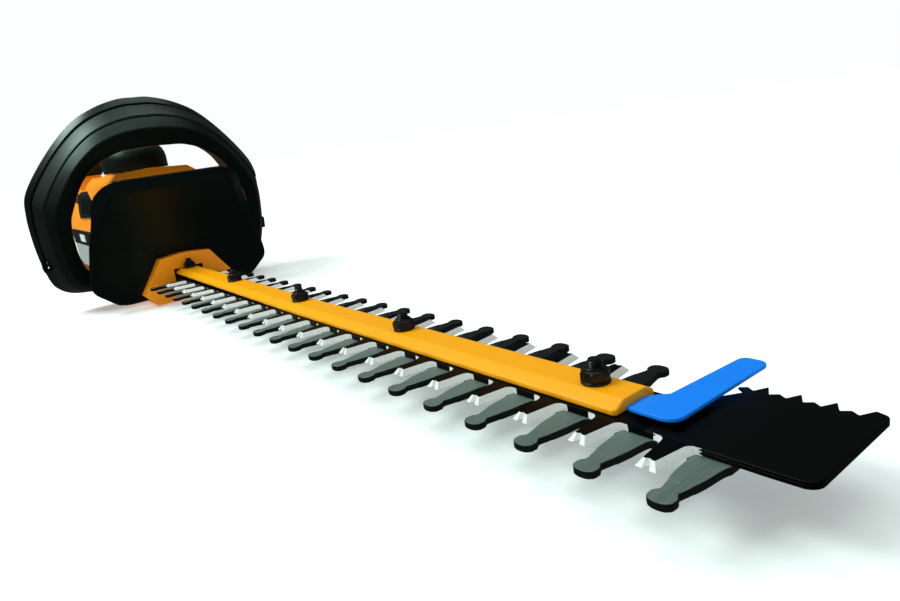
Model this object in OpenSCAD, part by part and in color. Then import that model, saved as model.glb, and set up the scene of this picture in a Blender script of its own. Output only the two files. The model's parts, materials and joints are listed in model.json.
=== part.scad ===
// Cordless hedge trimmer with a sawing tip.
// Frame: +X points from the rear handle to the blade tip, +Z up, origin on the floor
// under the middle of the whole tool. Inside the modules, "blade" coordinates are used:
// x = 0 at the finger nearest the tip and z = 0 at the top face of the fixed comb.

/* [Blade] */
// Distance between two comb fingers
pitch = 27; // [24:0.5:30]
// Number of fingers on the right side of the comb
fingers = 22; // [18:1:24]
// Thickness of the fixed comb
comb_t = 3; // [2:0.1:4]
// Thickness of the moving cutter
cutter_t = 2.5; // [2:0.1:3]
// Running gap between the steel layers
layer_gap = 0.1; // [0.05:0.01:0.3]
// Half width of the steel body that carries the fingers
body_half = 13.4; // [12:0.1:14]
// Reach of a finger tip from the middle of the blade
finger_reach = 41.8; // [38:0.2:48]
// Reach of a cutter tooth from the middle of the blade
cutter_reach = 29.8; // [26:0.2:33]
// Stroke of the cutter
stroke = 22; // [16:1:24]

/* [Bar] */
// Thickness of the stiffening bar
bar_t = 5; // [4:0.5:7]
// Half width of the bar
bar_half = 11.7; // [10:0.1:13]
// Half width of the flat top between the two bevels
bar_flat = 6.6; // [4:0.1:8]
// Rise of the bar over the cutter at the last bolt
root_lift = 3.2; // [0:0.1:4]
// Shank diameter of the blade bolts
bolt_d = 6; // [5:0.5:7]
// Distance between blade bolts
bolt_step = 129; // [110:1:135]

/* [Saw tip] */
// Length of the saw plate beyond the first finger
saw_reach = 30; // [24:1:40]
// Reach of the saw peaks to the left side
saw_half = 38; // [34:1:46]
// Reach of the branch stop to the left side
stop_reach = 52; // [44:1:56]

/* [Body] */
// Distance from the nose face to the rear end of the tool
body_len = 464; // [450:2:500]
// Half width of the motor housing at its shoulder
shoulder_half = 43; // [41:0.5:48]
// Height of the shoulder above the comb
shoulder_z = 104; // [102:1:112]
// Height of the comb above the floor
floor_drop = 22; // [20:1:26]
// Wall thickness of the moulded shells
wall = 2.8; // [2.2:0.1:3.4]
// Half width of the rear handle
grip_half = 18; // [17:0.5:21]

/* [Front handle] */
// Half width of the loop handle
loop_half = 117.5; // [112:0.5:126]
// Height of the loop handle above the comb
loop_top = 186; // [180:1:194]
// Depth of the loop handle from its back to its front face
loop_depth = 44; // [40:1:50]
// Forward lean of the loop handle in degrees
loop_lean = 12; // [8:1:14]
// Travel of the front switch bar in degrees
bail_swing = 1.8; // [1:0.1:2]

/* [Hand guard] */
// Half width of the hand guard
guard_half = 86.5; // [80:0.5:92]
// Height of the hand guard above the comb
guard_top = 103; // [96:1:106]
// Thickness of the hand guard
guard_t = 3.5; // [3:0.1:5]

/* [Drive] */
// Gear module
gear_mod = 1; // [0.9:0.05:1.1]
// Teeth on the motor pinion
pinion_teeth = 12; // [11:1:13]
// Teeth on the drive gear
gear_teeth = 60; // [56:1:62]
// Centre distance of the crank rod eyes
rod_len = 41; // [40:0.5:42]
// Diameter of the motor can
motor_d = 46; // [42:1:50]

/* [Battery] */
// Length of the battery
batt_len = 165; // [150:1:172]
// Half width of the battery
batt_half = 39; // [37:0.5:42]
// Diameter of a battery cell
cell_d = 21; // [18:0.1:21.5]

/* [Hidden] */
$fn = 48;
FIT = 0.05;          // radial running fit of pins and shafts
EASE = 0.3;          // gap between pieces that slide past one another
saw_fingers = 2;     // fingers that the saw plate replaces on the left side
root_x = -pitch * (fingers - 1);            // last finger
nose_x = root_x - 9;                        // front face of the nose, clear of the last finger
guard_x = nose_x - 13;                      // flat of the hand guard
rear_x = nose_x - body_len;                 // rear end of the tool
mid_x = (saw_reach + rear_x) / 2;
cut_z = layer_gap;                          // underside of the cutter
bar_z = cutter_t + 2 * layer_gap;           // underside of the bar
bar_top = bar_z + bar_t;
bolt_x0 = -2 * pitch;                       // bolt nearest the tip
bolts = 5;
// spacing of the bolts, closed up on a short blade so that the last one stays in front of the nose
bolt_gap = min(bolt_step, (bolt_x0 - nose_x - 6) / (bolts - 1));
bush_d = bolt_d + 4;                        // guide bushes that run in the cutter slots
crank = stroke / 2;
gear_r = gear_mod * gear_teeth / 2;
pinion_r = gear_mod * pinion_teeth / 2;
gear_x = nose_x - 76;                       // axis of the drive gear
motor_x = gear_x - gear_r - pinion_r;       // axis of motor and pinion
rod_z = bar_z + 1.8;
rod_t = 5;
gear_z = rod_z + rod_t + 1.2;
gear_t = 8;
pin_root_x = gear_x - crank + rod_len;      // cutter pin, at the back of its stroke
case_top = gear_z + gear_t + 5;
cover_t = 5;
motor_z = case_top + cover_t;               // seat of the motor can
motor_h = 66;
bay_x = nose_x - 268;                       // front wall of the battery bay
batt_top = 44;
batt_x = bay_x - 4;                         // front end of the battery
loop_x = nose_x - 85;                       // back of the loop at the bail pivot
bail_z = 35;                                // height of the bail pivot
slot_half = 19;                             // half width of the case's open front
mouth_half = 14.4;                          // mouth of the nose: clear of comb and cutter
front_d = nose_x - guard_x + guard_t + 0.3; // housing front wall, behind the guard
core_half = grip_half - 2;                  // plastic core of the rear handle
rail_y = 21;                                // battery rails from the middle
gap_seam = 0.1;                             // joint line between the two housing shells

// Shift from blade coordinates to the tool's own frame
module place() { translate([-mid_x, 0, floor_drop]) children(); }

// Extrudes a side-view (x, z) outline from y = a to y = b
module side(a, b) { translate([0, b, 0]) rotate([90, 0, 0]) linear_extrude(b - a) children(); }

// Extrudes a front-view (y, z) outline from x = a to x = b
module front(a, b) { translate([a, 0, 0]) rotate([90, 0, 90]) linear_extrude(b - a) children(); }

// Points of an arc from angle a to angle b
function arc(c, r, a, b, n = 8) =
    [for (i = [0:n]) c + r * [cos(a + (b - a) * i / n), sin(a + (b - a) * i / n)]];

// Mirrors a list of (y, z) points that runs from one end to the plane of symmetry
function mirrored(h) = concat(h, [for (i = [len(h) - 1:-1:0]) if (h[i][0] != 0) [-h[i][0], h[i][1]]]);

// ---------------------------------------------------------------- blade
finger_root = 6.9;     // half width of a finger where it leaves the body
neck = 2.9;            // half width of the neck behind the blunt end
bulb = 4.3;            // half width of the blunt end

// One comb finger on the +y side around x = 0: it narrows to a neck and ends in a blunt bulb
module finger_2d() {
    half = [[finger_root, body_half - 0.6], [finger_root - 1.1, body_half + 2.2],
        [5.3, 0.5 * (body_half + finger_reach) - 6], [4.6, finger_reach - 14.5],
        [3.6, finger_reach - 10.6], [neck, finger_reach - 8], [neck + 0.2, finger_reach - 7],
        [bulb - 0.2, finger_reach - 5.4], [bulb, finger_reach - 2.6],
        [bulb - 1.8, finger_reach - 0.5], [0.8, finger_reach]];
    polygon(concat(half, [for (i = [len(half) - 1:-1:0]) [-half[i][0], half[i][1]]]));
}

module finger_comb() place() color("dimgray") difference() {
    translate([0, 0, -comb_t]) linear_extrude(comb_t) difference() {
        union() {
            polygon([[finger_root, -body_half], [finger_root, body_half], [nose_x - 12, body_half],
                     [nose_x - 20, 30], [nose_x - 62, 30], [nose_x - 62, -30],
                     [nose_x - 20, -30], [nose_x - 12, -body_half]]);
            for (i = [0:fingers - 1]) translate([-i * pitch, 0]) mirror([0, 1]) finger_2d();
            for (i = [saw_fingers:fingers - 1]) translate([-i * pitch, 0]) finger_2d();
        }
        for (i = [0:bolts - 1]) translate([bolt_x0 - i * bolt_gap, 0]) circle(d = bolt_d + 2 * FIT);
        for (x = [nose_x - 28, nose_x - 54], y = [-24, 24]) translate([x, y]) circle(d = 5.5);
    }
}

tooth_root = 6;        // half width of a cutter tooth near its root
tooth_end = 3.7;       // half width of a cutter tooth at its end
// One cutter tooth on the +y side around x = 0, with its notched end
module tooth_2d() {
    half = [[tooth_root + 2.6, body_half - 0.2], [tooth_root, body_half + 2.1], [tooth_end, cutter_reach],
        [tooth_end - 1.3, cutter_reach], [1.2, cutter_reach - 2], [0.9, cutter_reach - 2.6]];
    polygon(concat(half, [for (i = [len(half) - 1:-1:0]) [-half[i][0], half[i][1]]]));
}

slot_half_w = bush_d / 2 + 0.15;
cutter_off = -11.5;    // cutter teeth stand this far behind the fingers at rest
module bolt_slot_2d(x) {
    for (s = [-EASE, stroke + EASE]) translate([x - s, 0]) circle(slot_half_w);
    translate([x - stroke - EASE, -slot_half_w]) square([stroke + 2 * EASE, 2 * slot_half_w]);
}

saw_joint = -24;       // where the saw plate begins to lap over the cutter
lap = 18;
module cutter_blade() place() color("silver") {
    translate([0, 0, cut_z]) difference() {
        linear_extrude(cutter_t) difference() {
            union() {
                polygon([[saw_joint + lap, -body_half], [saw_joint + lap, body_half],
                         [nose_x - 4, body_half], [nose_x - 12, 10], [pin_root_x - 9, 10],
                         [pin_root_x - 9, -10], [nose_x - 12, -10], [nose_x - 4, -body_half]]);
                for (i = [0:fingers - 2]) translate([cutter_off - i * pitch, 0])
                    mirror([0, 1]) tooth_2d();
                for (i = [saw_fingers:fingers - 2]) translate([cutter_off - i * pitch, 0]) tooth_2d();
            }
            for (i = [0:bolts - 1]) bolt_slot_2d(bolt_x0 - i * bolt_gap);
            for (y = [-7, 7]) translate([saw_joint + lap / 2, y]) circle(d = 4);
        }
        translate([saw_joint, -body_half, cutter_t / 2]) cube([lap + 1, 2 * body_half, cutter_t]);
        translate([saw_joint + lap, -body_half, -1]) cube([lap, 2 * body_half, cutter_t + 2]);
    }
    translate([pin_root_x, 0, cut_z + cutter_t - 0.5]) cylinder(h = 1.9, d = 9);
}

saw_step = 11.25;      // spacing of the large saw peaks
module saw_tip() place() color("#1c1f1e") translate([0, 0, cut_z]) {
    peak_x = saw_reach - 4.9;
    peaks = 4;
    difference() {
        linear_extrude(cutter_t) difference() {
            polygon(concat(
                [[saw_joint, -body_half], [saw_reach - 14, -body_half]],
                arc([saw_reach - 4, -body_half + 5], 4.2, -80, 0, 6),
                arc([saw_reach - 3.2, saw_half - 4], 3, 0, 60, 4),
                [for (k = [0:peaks - 1], q = [0:3]) [peak_x - (k + q / 4) * saw_step,
                    q == 0 ? saw_half : q == 2 ? saw_half - 3.4 : saw_half - 5.4]],
                [[peak_x - (peaks - 0.6) * saw_step, saw_half - 8], [saw_joint, body_half]]));
            for (y = [-7, 7]) translate([saw_joint + lap / 2, y]) circle(d = 4);
        }
        translate([saw_joint - 1, -60, -1]) cube([lap + 1.1, 120, 1 + cutter_t / 2 + 0.05]);
    }
}

module saw_rivets() place() color("gray")
    for (y = [-7, 7]) translate([saw_joint + lap / 2, y, cut_z]) cylinder(h = cutter_t, d = 4);

// ---------------------------------------------------------------- bar and bolts
bar_x0 = bolt_x0 + 17.6;     // tip end of the bar
bar_x1 = nose_x - 14;        // root end of the bar
side_h = 2.1;                // height of the bar's square sides, below the bevels
ramp_x = bolt_x0 - 246;      // where the bar starts to rise towards the handle
bolt_x4 = bolt_x0 - (bolts - 1) * bolt_gap;
function bolt_x(i) = bolt_x0 - i * bolt_gap;
function lift(x) = x > ramp_x ? 0 : root_lift * (ramp_x - x) / (ramp_x - bolt_x4);
BAR_SECTION = [[-bar_half, 0], [-bar_half, side_h], [-bar_flat, bar_t], [bar_flat, bar_t],
    [bar_half, side_h], [bar_half, 0]];

// The bar's section stood up at x, raised by z
function bar_section_at(x, z) = [for (p = BAR_SECTION) [x, p[0], z + p[1]]];

module blade_bar() place() color("#ffae00") difference() {
    union() {
        front(ramp_x, bar_x0) translate([0, bar_z]) polygon(BAR_SECTION);
        // the rising part: the same section at both ends, the far one lifted
        polyhedron(
            points = concat(bar_section_at(ramp_x, bar_z), bar_section_at(bar_x1, bar_z + lift(bar_x1))),
            faces = concat([[0, 1, 2, 3, 4, 5], [11, 10, 9, 8, 7, 6]],
                [for (i = [0:5]) let (j = (i + 1) % 6) [j, i, i + 6, j + 6]]));
    }
    for (i = [0:bolts - 1]) translate([bolt_x0 - i * bolt_gap, 0, bar_z - 1])
        cylinder(h = bar_t + root_lift + 2, d = bolt_d + 2 * FIT);
    // seat of the branch stop's tongue
    translate([bolt_x0 - 10, -7, bar_z - 1]) cube([40, 14, 1 + 1.7]);
    // corners of the tip end
    for (s = [-1, 1]) translate([bar_x0, s * bar_half, bar_z - 1])
        rotate(s * 45) cube([2, 8, 12], center = true);
}

stop_t = 1.6;
stop_z = bar_z + 1.8;                       // underside of the plate over the saw tip
module branch_stop() place() color("#0a8cff") difference() {
    union() {
        // tongue under the bar, held by the first blade bolt
        translate([bolt_x0 - 9, -6.8, bar_z]) cube([bar_x0 + 1 - bolt_x0 + 9, 13.6, stop_t]);
        // riser in front of the bar
        side(-6.8, 6.8) polygon([[bar_x0 + 0.4, bar_z], [bar_x0 + 8, stop_z], [bar_x0 + 8, stop_z + stop_t],
            [bar_x0 + 6, stop_z + stop_t], [bar_x0 + 0.4, bar_z + stop_t]]);
        // flat plate over the saw tip
        translate([0, 0, stop_z]) linear_extrude(stop_t) polygon(concat(
            [[bar_x0 + 6, -8.6], [bar_x0 + 17, -8.6]], arc([-18, -4], 4.6, -80, 0, 6),
            arc([-17, stop_reach - 3], 3, 0, 80, 4), arc([-22, stop_reach - 3], 3, 90, 170, 4),
            [[bar_x0 + 7.5, 9], [bar_x0 + 6, 6]]));
    }
    translate([bolt_x0, 0, bar_z - 1]) cylinder(h = 4, d = bolt_d + 2 * FIT);
}

nut_h = 6.5;
module blade_bolts() place() color("#2b2b2b")
    for (i = [0:bolts - 1]) translate([bolt_x(i), 0, 0]) {
        translate([0, 0, -comb_t - 3]) cylinder(h = 3, d = 11);
        translate([0, 0, -comb_t]) cylinder(h = comb_t + bar_top + lift(bolt_x(i)) + nut_h + 3, d = bolt_d);
    }

module guide_bushes() place() color("gray")
    for (i = [0:bolts - 1]) translate([bolt_x(i), 0, 0]) difference() {
        cylinder(h = bar_z + max(0, lift(bolt_x(i)) - 0.1), d = bush_d);
        translate([0, 0, -1]) cylinder(h = bar_z + root_lift + 2, d = bolt_d + 2 * FIT);
    }

nut_flange = 11.4;
nut_hex = 10.2;
nut_collar = 8.2;

// Each flange rests on the higher edge of the bar under it
module blade_nuts() place() color("#1a1a1a")
    for (i = [0:bolts - 1])
    translate([bolt_x(i), 0, bar_top + lift(bolt_x(i) - nut_flange / 2)]) difference() {
        union() {
            cylinder(h = 1.6, d = nut_flange);
            translate([0, 0, 1.6]) cylinder(h = 3.6, d = nut_hex, $fn = 6);
            translate([0, 0, 5.2]) cylinder(h = nut_h - 5.2, d = nut_collar);
        }
        translate([0, 0, -1]) cylinder(h = nut_h + 2, d = bolt_d + 2 * FIT);
    }

module blade_mount_screws() place() color("silver")
    for (x = [nose_x - 28, nose_x - 54], y = [-24, 24]) translate([x, y, -comb_t - 3]) {
        cylinder(h = 3, d = 9);
        cylinder(h = 3 + comb_t + 10, d = 5);
    }

module blade_seal() place() color("#4a4a45") translate([nose_x - 12, 0, 0]) difference() {
    translate([0, -23, bar_top + lift(nose_x - 12) + 0.3]) cube([4, 46, 5]);
    translate([-1, -4, 0]) cube([6, 8, bar_top + lift(nose_x - 12) + 0.5]);
}

// ---------------------------------------------------------------- gear case
case_x0 = gear_x - gear_r - 2 * pinion_r - 8;   // rear end
case_x1 = nose_x - front_d - wall - EASE;       // front end
case_half = gear_r + 5.5;
motor_head = 2.3;                               // heads of the motor screws, sunk in the cover
module case_corners() {
    for (x = [case_x0 + 5, case_x1 - 5], y = [-case_half + 5, case_half - 5])
        translate([x, y, 0]) children();
}

module gear_case() place() color("silver") difference() {
    translate([case_x0, -case_half, layer_gap])
        cube([case_x1 - case_x0, 2 * case_half, case_top - layer_gap]);
    // tunnel for cutter, bar and crank rod
    translate([case_x0 + 8, -slot_half - 2, -1]) cube([case_x1 - case_x0, 2 * slot_half + 4, gear_z + 1]);
    translate([gear_x, 0, gear_z - 0.5]) cylinder(h = 30, r = gear_r + 1.5 + gear_mod);
    translate([motor_x, 0, gear_z - 0.5]) cylinder(h = 30, r = pinion_r + 2.5 + gear_mod);
    for (x = [nose_x - 28, nose_x - 54], y = [-24, 24])
        translate([x, y, -1]) cylinder(h = 11, d = 5 + 2 * FIT);
    case_corners() translate([0, 0, case_top - 12]) cylinder(h = 13, d = 4 + 2 * FIT);
}

module gear_cover() place() color("gainsboro") difference() {
    translate([case_x0, -case_half, case_top]) cube([case_x1 - case_x0, 2 * case_half, cover_t]);
    translate([motor_x, 0, case_top - 1]) cylinder(h = cover_t + 2, r = 8);
    translate([gear_x, 0, case_top - 1]) cylinder(h = cover_t + 2, d = 10);
    case_corners() translate([0, 0, case_top - 1]) cylinder(h = cover_t + 2, d = 4 + 2 * FIT);
    for (s = [-1, 1]) translate([motor_x, s * 15, case_top - 1]) {
        cylinder(h = cover_t + 2, d = 4 + 2 * FIT);
        cylinder(h = 1 + motor_head, d = 7 + 2 * FIT);
    }
}

module gear_cover_screws() place() color("gray") case_corners() {
    translate([0, 0, case_top - 10]) cylinder(h = cover_t + 10, d = 4);
    translate([0, 0, case_top + cover_t]) cylinder(h = 2.6, d = 7);
}

// Spur gear outline: straight-sided teeth on a root disc
module gear_2d(teeth) {
    r = gear_mod * teeth / 2;
    a = 360 / teeth;
    polygon([for (i = [0:teeth - 1], q = [0:3])
        (q == 0 || q == 3 ? r - 1.2 * gear_mod : r + 0.9 * gear_mod) *
        [cos(a * (i + [-0.26, -0.1, 0.1, 0.26][q]) ), sin(a * (i + [-0.26, -0.1, 0.1, 0.26][q]))]]);
}

module drive_gear() place() color("slategray") translate([gear_x, 0, 0]) difference() {
    union() {
        translate([0, 0, gear_z]) linear_extrude(gear_t) rotate(180 / gear_teeth) gear_2d(gear_teeth);
        translate([-crank, 0, rod_z - 0.3]) cylinder(h = gear_z - rod_z + 0.4, d = 12);
    }
    translate([0, 0, gear_z + 1.5]) cylinder(h = gear_t, d = 10 + 2 * FIT);
}

module gear_axle() place() color("silver") translate([gear_x, 0, gear_z + 1.7])
    cylinder(h = case_top + cover_t - gear_z - 1.7, d = 10);

module crank_rod() place() color("gray") translate([gear_x - crank, 0, rod_z]) difference() {
    union() {
        cylinder(h = rod_t, d = 19);
        translate([0, -5, 0]) cube([rod_len, 10, rod_t]);
        translate([rod_len, 0, 0]) cylinder(h = rod_t, d = 14);
    }
    translate([0, 0, -1]) cylinder(h = rod_t + 2, d = 12 + 2 * FIT);
    translate([rod_len, 0, -1]) cylinder(h = rod_t + 2, d = 7);
}

// ---------------------------------------------------------------- motor
module pinion() place() color("goldenrod") translate([motor_x, 0, gear_z]) difference() {
    linear_extrude(gear_t) gear_2d(pinion_teeth);
    translate([0, 0, -1]) cylinder(h = gear_t + 2, d = 5);
}

module motor_can() place() color("#8a8d90") translate([motor_x, 0, motor_z]) difference() {
    cylinder(h = motor_h, d = motor_d);
    translate([0, 0, 3]) cylinder(h = motor_h - 6, d = motor_d - 4);
    translate([0, 0, -1]) cylinder(h = 5, d = 14);
    translate([0, 0, motor_h - 4]) cylinder(h = 5, d = 14);
    for (s = [-1, 1]) translate([0, s * 15, -1]) cylinder(h = 5, d = 4 + 2 * FIT);
    for (a = [30:60:330]) rotate(a) translate([motor_d / 2 - 4, -3, motor_h - 14]) cube([5, 6, 7]);
}

module motor_bearings() place() color("silver") translate([motor_x, 0, motor_z])
    for (z = [-2, motor_h - 3]) translate([0, 0, z]) difference() {
        cylinder(h = 5, d = 14);
        translate([0, 0, -1]) cylinder(h = 7, d = 5 + 2 * FIT);
    }

module rotor() place() color("#b87333") translate([motor_x, 0, 0]) {
    translate([0, 0, gear_z - 1]) cylinder(h = motor_z + motor_h + 3 - gear_z, d = 5);
    translate([0, 0, motor_z + 8]) cylinder(h = motor_h - 26, d = motor_d - 10);
    translate([0, 0, motor_z + motor_h - 15]) cylinder(h = 9, d = 18);
}

module motor_screws() place() color("gray") for (s = [-1, 1]) translate([motor_x, s * 15, 0]) {
    translate([0, 0, case_top + 0.1]) cylinder(h = cover_t + 2.5, d = 4);
    translate([0, 0, case_top + 0.1]) cylinder(h = motor_head - 0.1, d = 7);
}

// ---------------------------------------------------------------- housing
// Side outlines (x, z), given from the nose face backwards
function bx(d) = nose_x - d;
MOTOR_PROFILE = [[bx(front_d), -floor_drop], [bx(185), -floor_drop], [bx(160), 40], [bx(157), 72],
    [bx(190), shoulder_z], [bx(188), shoulder_z + 8], [bx(44), shoulder_z + 8], [bx(30), shoulder_z - 3],
    [bx(front_d), shoulder_z - 22], [bx(front_d), 40]];
LOWER_PROFILE = [[bx(150), -floor_drop], [bx(268), -floor_drop], [bx(268), batt_top + EASE],
    [rear_x + 22, batt_top + EASE], [rear_x + 6, 62], [rear_x + 40, 92], [bx(340), 98], [bx(150), 98]];
HANDLE_PROFILE = concat(
    [[bx(90), 100], [bx(88), 122], [bx(110), 136], [bx(160), 148], [bx(222), 166]],
    [[bx(350), 170]], arc([rear_x + 46, 122], 46, 70, 175, 8), [[rear_x, 76], [rear_x + 10, 54],
    [rear_x + 60, 54], [rear_x + 60, 84], [bx(340), 96]]);
post_r = 19;                                // rounding of the gap's rear corner
post_c = [rear_x + 68, 119];
GAP_PROFILE = concat([[bx(206), 100]], arc([bx(218), 126], 12, 0, 90, 5),
    arc(post_c, post_r, 90, 180, 5), arc([rear_x + 71, 104], 22, 180, 270, 5), [[bx(330), 94]]);

// Cross-section of the motor housing, widest at the shoulder
module motor_section(s) {
    polygon(mirrored([[34 - s / 2, -floor_drop + s], [44 - s, -11], [41.5 - s, 36],
        [shoulder_half - s, shoulder_z - 3], [34 - s, shoulder_z + 6 - s], [0, shoulder_z + 8 - s]]));
}
// Cross-section of the lower body behind the motor housing
module lower_section(g) {
    polygon(mirrored([[30 + g, -floor_drop - g], [37.5 + g, -10], [38 + g, 60], [33 + g, 90 + g],
        [20 + g, 99 + g]]));
}
// Cross-section of the nose
module nose_section(s) {
    polygon(mirrored([[36 - s, -20 + s], [46 - s, -8], [24.5 - s, 23.5 - s], [8, 25.5 - s], [0, 26 - s]]));
}

module handle_2d() {
    difference() {
        polygon(HANDLE_PROFILE);
        polygon(GAP_PROFILE);
    }
}

module housing_outer() {
    intersection() {
        side(-60, 60) polygon(MOTOR_PROFILE);
        front(bx(300), nose_x) motor_section(0);
    }
    intersection() {
        side(-40, 40) polygon(LOWER_PROFILE);
        front(rear_x, bx(140)) lower_section(0);
    }
    front(bx(24), nose_x) nose_section(0);
    side(-core_half, core_half) handle_2d();
}

module housing_inner() {
    intersection() {
        side(-60, 60) polygon([[bx(front_d + wall), wall - floor_drop], [bx(182), wall - floor_drop],
            [bx(157), 40], [bx(154), 74], [bx(184), shoulder_z + 5], [bx(46), shoulder_z + 5],
            [bx(33), shoulder_z - 6], [bx(front_d + wall), shoulder_z - 24]]);
        front(bx(300), bx(10)) motor_section(wall);
    }
    intersection() {
        side(-60, 60) polygon([[bx(150), wall - floor_drop], [bx(265), wall - floor_drop],
            [bx(265), batt_top + 9], [rear_x + 30, batt_top + 9], [rear_x + 46, 84], [bx(340), 92],
            [bx(150), 94]]);
        front(rear_x + 4, bx(150)) lower_section(-wall);
    }
    front(bx(30), bx(3)) nose_section(wall);
    translate([motor_x, 0, 30]) cylinder(h = shoulder_z - 16, d = motor_d + 1.5);
    // tunnel in the top arm of the handle
    side(-core_half + wall, core_half - wall) polygon([[bx(112), 126], [bx(160), 140], [bx(224), 159],
        [bx(345), 163], [bx(345), 148], [bx(222), 145], [bx(196), 118], [bx(196), 106], [bx(112), 104]]);
    // mouth of the nose, and the way for comb and screws under it
    translate([nose_x - 8, -mouth_half, -comb_t - EASE])
        cube([10, 2 * mouth_half, comb_t + EASE + bar_top + lift(nose_x) + 0.8]);
    // hollow of the rear post
    side(-core_half + wall, core_half - wall) polygon(concat(arc([rear_x + 46, 122], 46 - wall, 80, 175, 8),
        [[rear_x + wall, 78], [rear_x + 12, 60], [rear_x + 44, 60], [post_c[0] - post_r - wall, 104]],
        arc(post_c, post_r + wall, 180, 90, 5), [[bx(345), 148], [bx(345), 163]]));
    // trigger opening
    side(-9, 9) polygon([[bx(213), 128], [bx(213), 150], [bx(275), 150], [bx(275), 128]]);
    // battery rail channels, open to the rear
    for (s = [-1, 1]) translate([rear_x - 1, s * rail_y, batt_top - 1]) {
        translate([0, -3 - EASE, 0]) cube([bay_x - rear_x - 2, 6 + 2 * EASE, 6]);
        translate([0, -6 - EASE, 4 - EASE]) cube([bay_x - rear_x - 2, 12 + 2 * EASE, 3 + 2 * EASE]);
    }
    // vent slots in both sides
    vent_slots();
    // screws of the loop handle, trigger pin
    loop_screw_axes(-60, 60, 2 + FIT);
    trigger_axis(-core_half - 1, core_half + 1, 2 + FIT);
    guard_axes(1.75 + FIT, 24);
}

screw_spots = [[bx(34), 86], [bx(150), -14], [bx(150), 88], [bx(250), 80], [bx(250), -14],
    [bx(330), 62], [rear_x + 30, 148], [rear_x + 16, 80]];
module screw_bosses(a, b, r) {
    for (p = screw_spots) translate([p[0], a, p[1]]) rotate([-90, 0, 0]) cylinder(h = b - a, r = r);
}

module housing_half() {
    difference() {
        union() {
            difference() { housing_outer(); housing_inner(); }
            intersection() { screw_bosses(-60, 60, 4.5); housing_outer(); }
        }
        screw_bosses(-60, 60, 2 + FIT);
        // counterbores for the screw heads on the right side
        for (p = screw_spots) translate([p[0], -60, p[1]]) rotate([-90, 0, 0])
            cylinder(h = 60 - 14, r = 4);
    }
}

module housing_left() place() color("#ff9a0a") intersection() {
    housing_half();
    translate([rear_x - 1, gap_seam / 2, -60]) cube([body_len + 60, 100, 300]);
}
module housing_right() place() color("#ff9a0a") intersection() {
    housing_half();
    translate([rear_x - 1, -100 - gap_seam / 2, -60]) cube([body_len + 60, 100, 300]);
}
module housing_screws() place() color("#333333") for (p = screw_spots)
    translate([p[0], -14, p[1]]) rotate([-90, 0, 0]) {
        cylinder(h = 22, r = 2);
        translate([0, 0, -3]) cylinder(h = 3, r = 3.7);
    }

// ---------------------------------------------------------------- vents and soft covers
PANEL = [[bx(166), 66], [bx(312), 62], [bx(320), 68], [bx(322), 90], [bx(314), 96], [bx(191), 96],
    [bx(163), 74]];
module vent_slots() {
    for (i = [0:7]) translate([bx(196 + i * 14), -60, 68]) cube([7, 120, 19]);
}
module vent_panel() {
    difference() {
        intersection() {
            side(-60, 60) polygon(PANEL);
            front(bx(325), bx(150)) difference() { lower_section(2.4); lower_section(0.05); }
        }
        vent_slots();
    }
    // louvres across the slots
    for (i = [0:2]) intersection() {
        translate([bx(306), -60, 71 + i * 5.5]) cube([118, 120, 1.6]);
        front(bx(325), bx(150)) difference() { lower_section(1.6); lower_section(0.05); }
    }
}
module vent_left() place() color("#141817") intersection() {
    vent_panel();
    translate([rear_x, 5, 0]) cube([body_len, 60, 120]);
}
module vent_right() place() color("#141817") intersection() {
    vent_panel();
    translate([rear_x, -65, 0]) cube([body_len, 60, 120]);
}

// Rounded shoulder of the dome: radius and height
DOME = [[32.6, 127], [31, 131.5], [28, 134.8], [24, 136.6], [18, 137.4]];
module dome(g) {
    hull() {
        for (d = DOME) translate([motor_x - 1, 0, d[1] - g]) cylinder(h = 1, r = d[0] - g, $fn = 64);
        translate([motor_x, 0, shoulder_z + 7]) cylinder(h = 13, r = 33 - g, $fn = 64);
        translate([bx(176), -grip_half + g, 120]) cube([4, 2 * grip_half - 2 * g, 36 - g]);
    }
}
// Soft cover: the dome over the motor, running on over the top arm of the handle
module grip_cover() {
    difference() {
        dome(0);
        dome(2.4);
        side(-core_half - 0.05, core_half + 0.05) offset(delta = 0.05) handle_2d();
        translate([bx(200), -60, 0]) cube([130, 120, shoulder_z + 8.1]);
    }
    difference() {
        intersection() {
            side(-grip_half, grip_half) offset(delta = 2) handle_2d();
            translate([rear_x + 44, -60, 116]) cube([bx(176) - rear_x - 44, 120, 80]);
        }
        side(-core_half - 0.05, core_half + 0.05) offset(delta = 0.05) handle_2d();
        translate([bx(278), -10, 120]) cube([67, 20, 24]);
    }
}
module grip_cover_left() place() color("#181c1b") intersection() {
    grip_cover();
    translate([rear_x, gap_seam, 60]) cube([body_len, 60, 150]);
}
module grip_cover_right() place() color("#181c1b") intersection() {
    grip_cover();
    translate([rear_x, -60 - gap_seam, 60]) cube([body_len, 60, 150]);
}

// ---------------------------------------------------------------- hand guard
guard_bend = 20;                             // height at which the guard starts to lean forward
guard_rim = 11;                              // height of the rim band along the top
guard_reach = 44;                            // how far the top leans over the blade
bend_k = guard_reach / pow(guard_top - guard_bend, 2);
function lean_x(z) = guard_x + bend_k * pow(max(0, z - guard_bend), 2);
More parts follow.
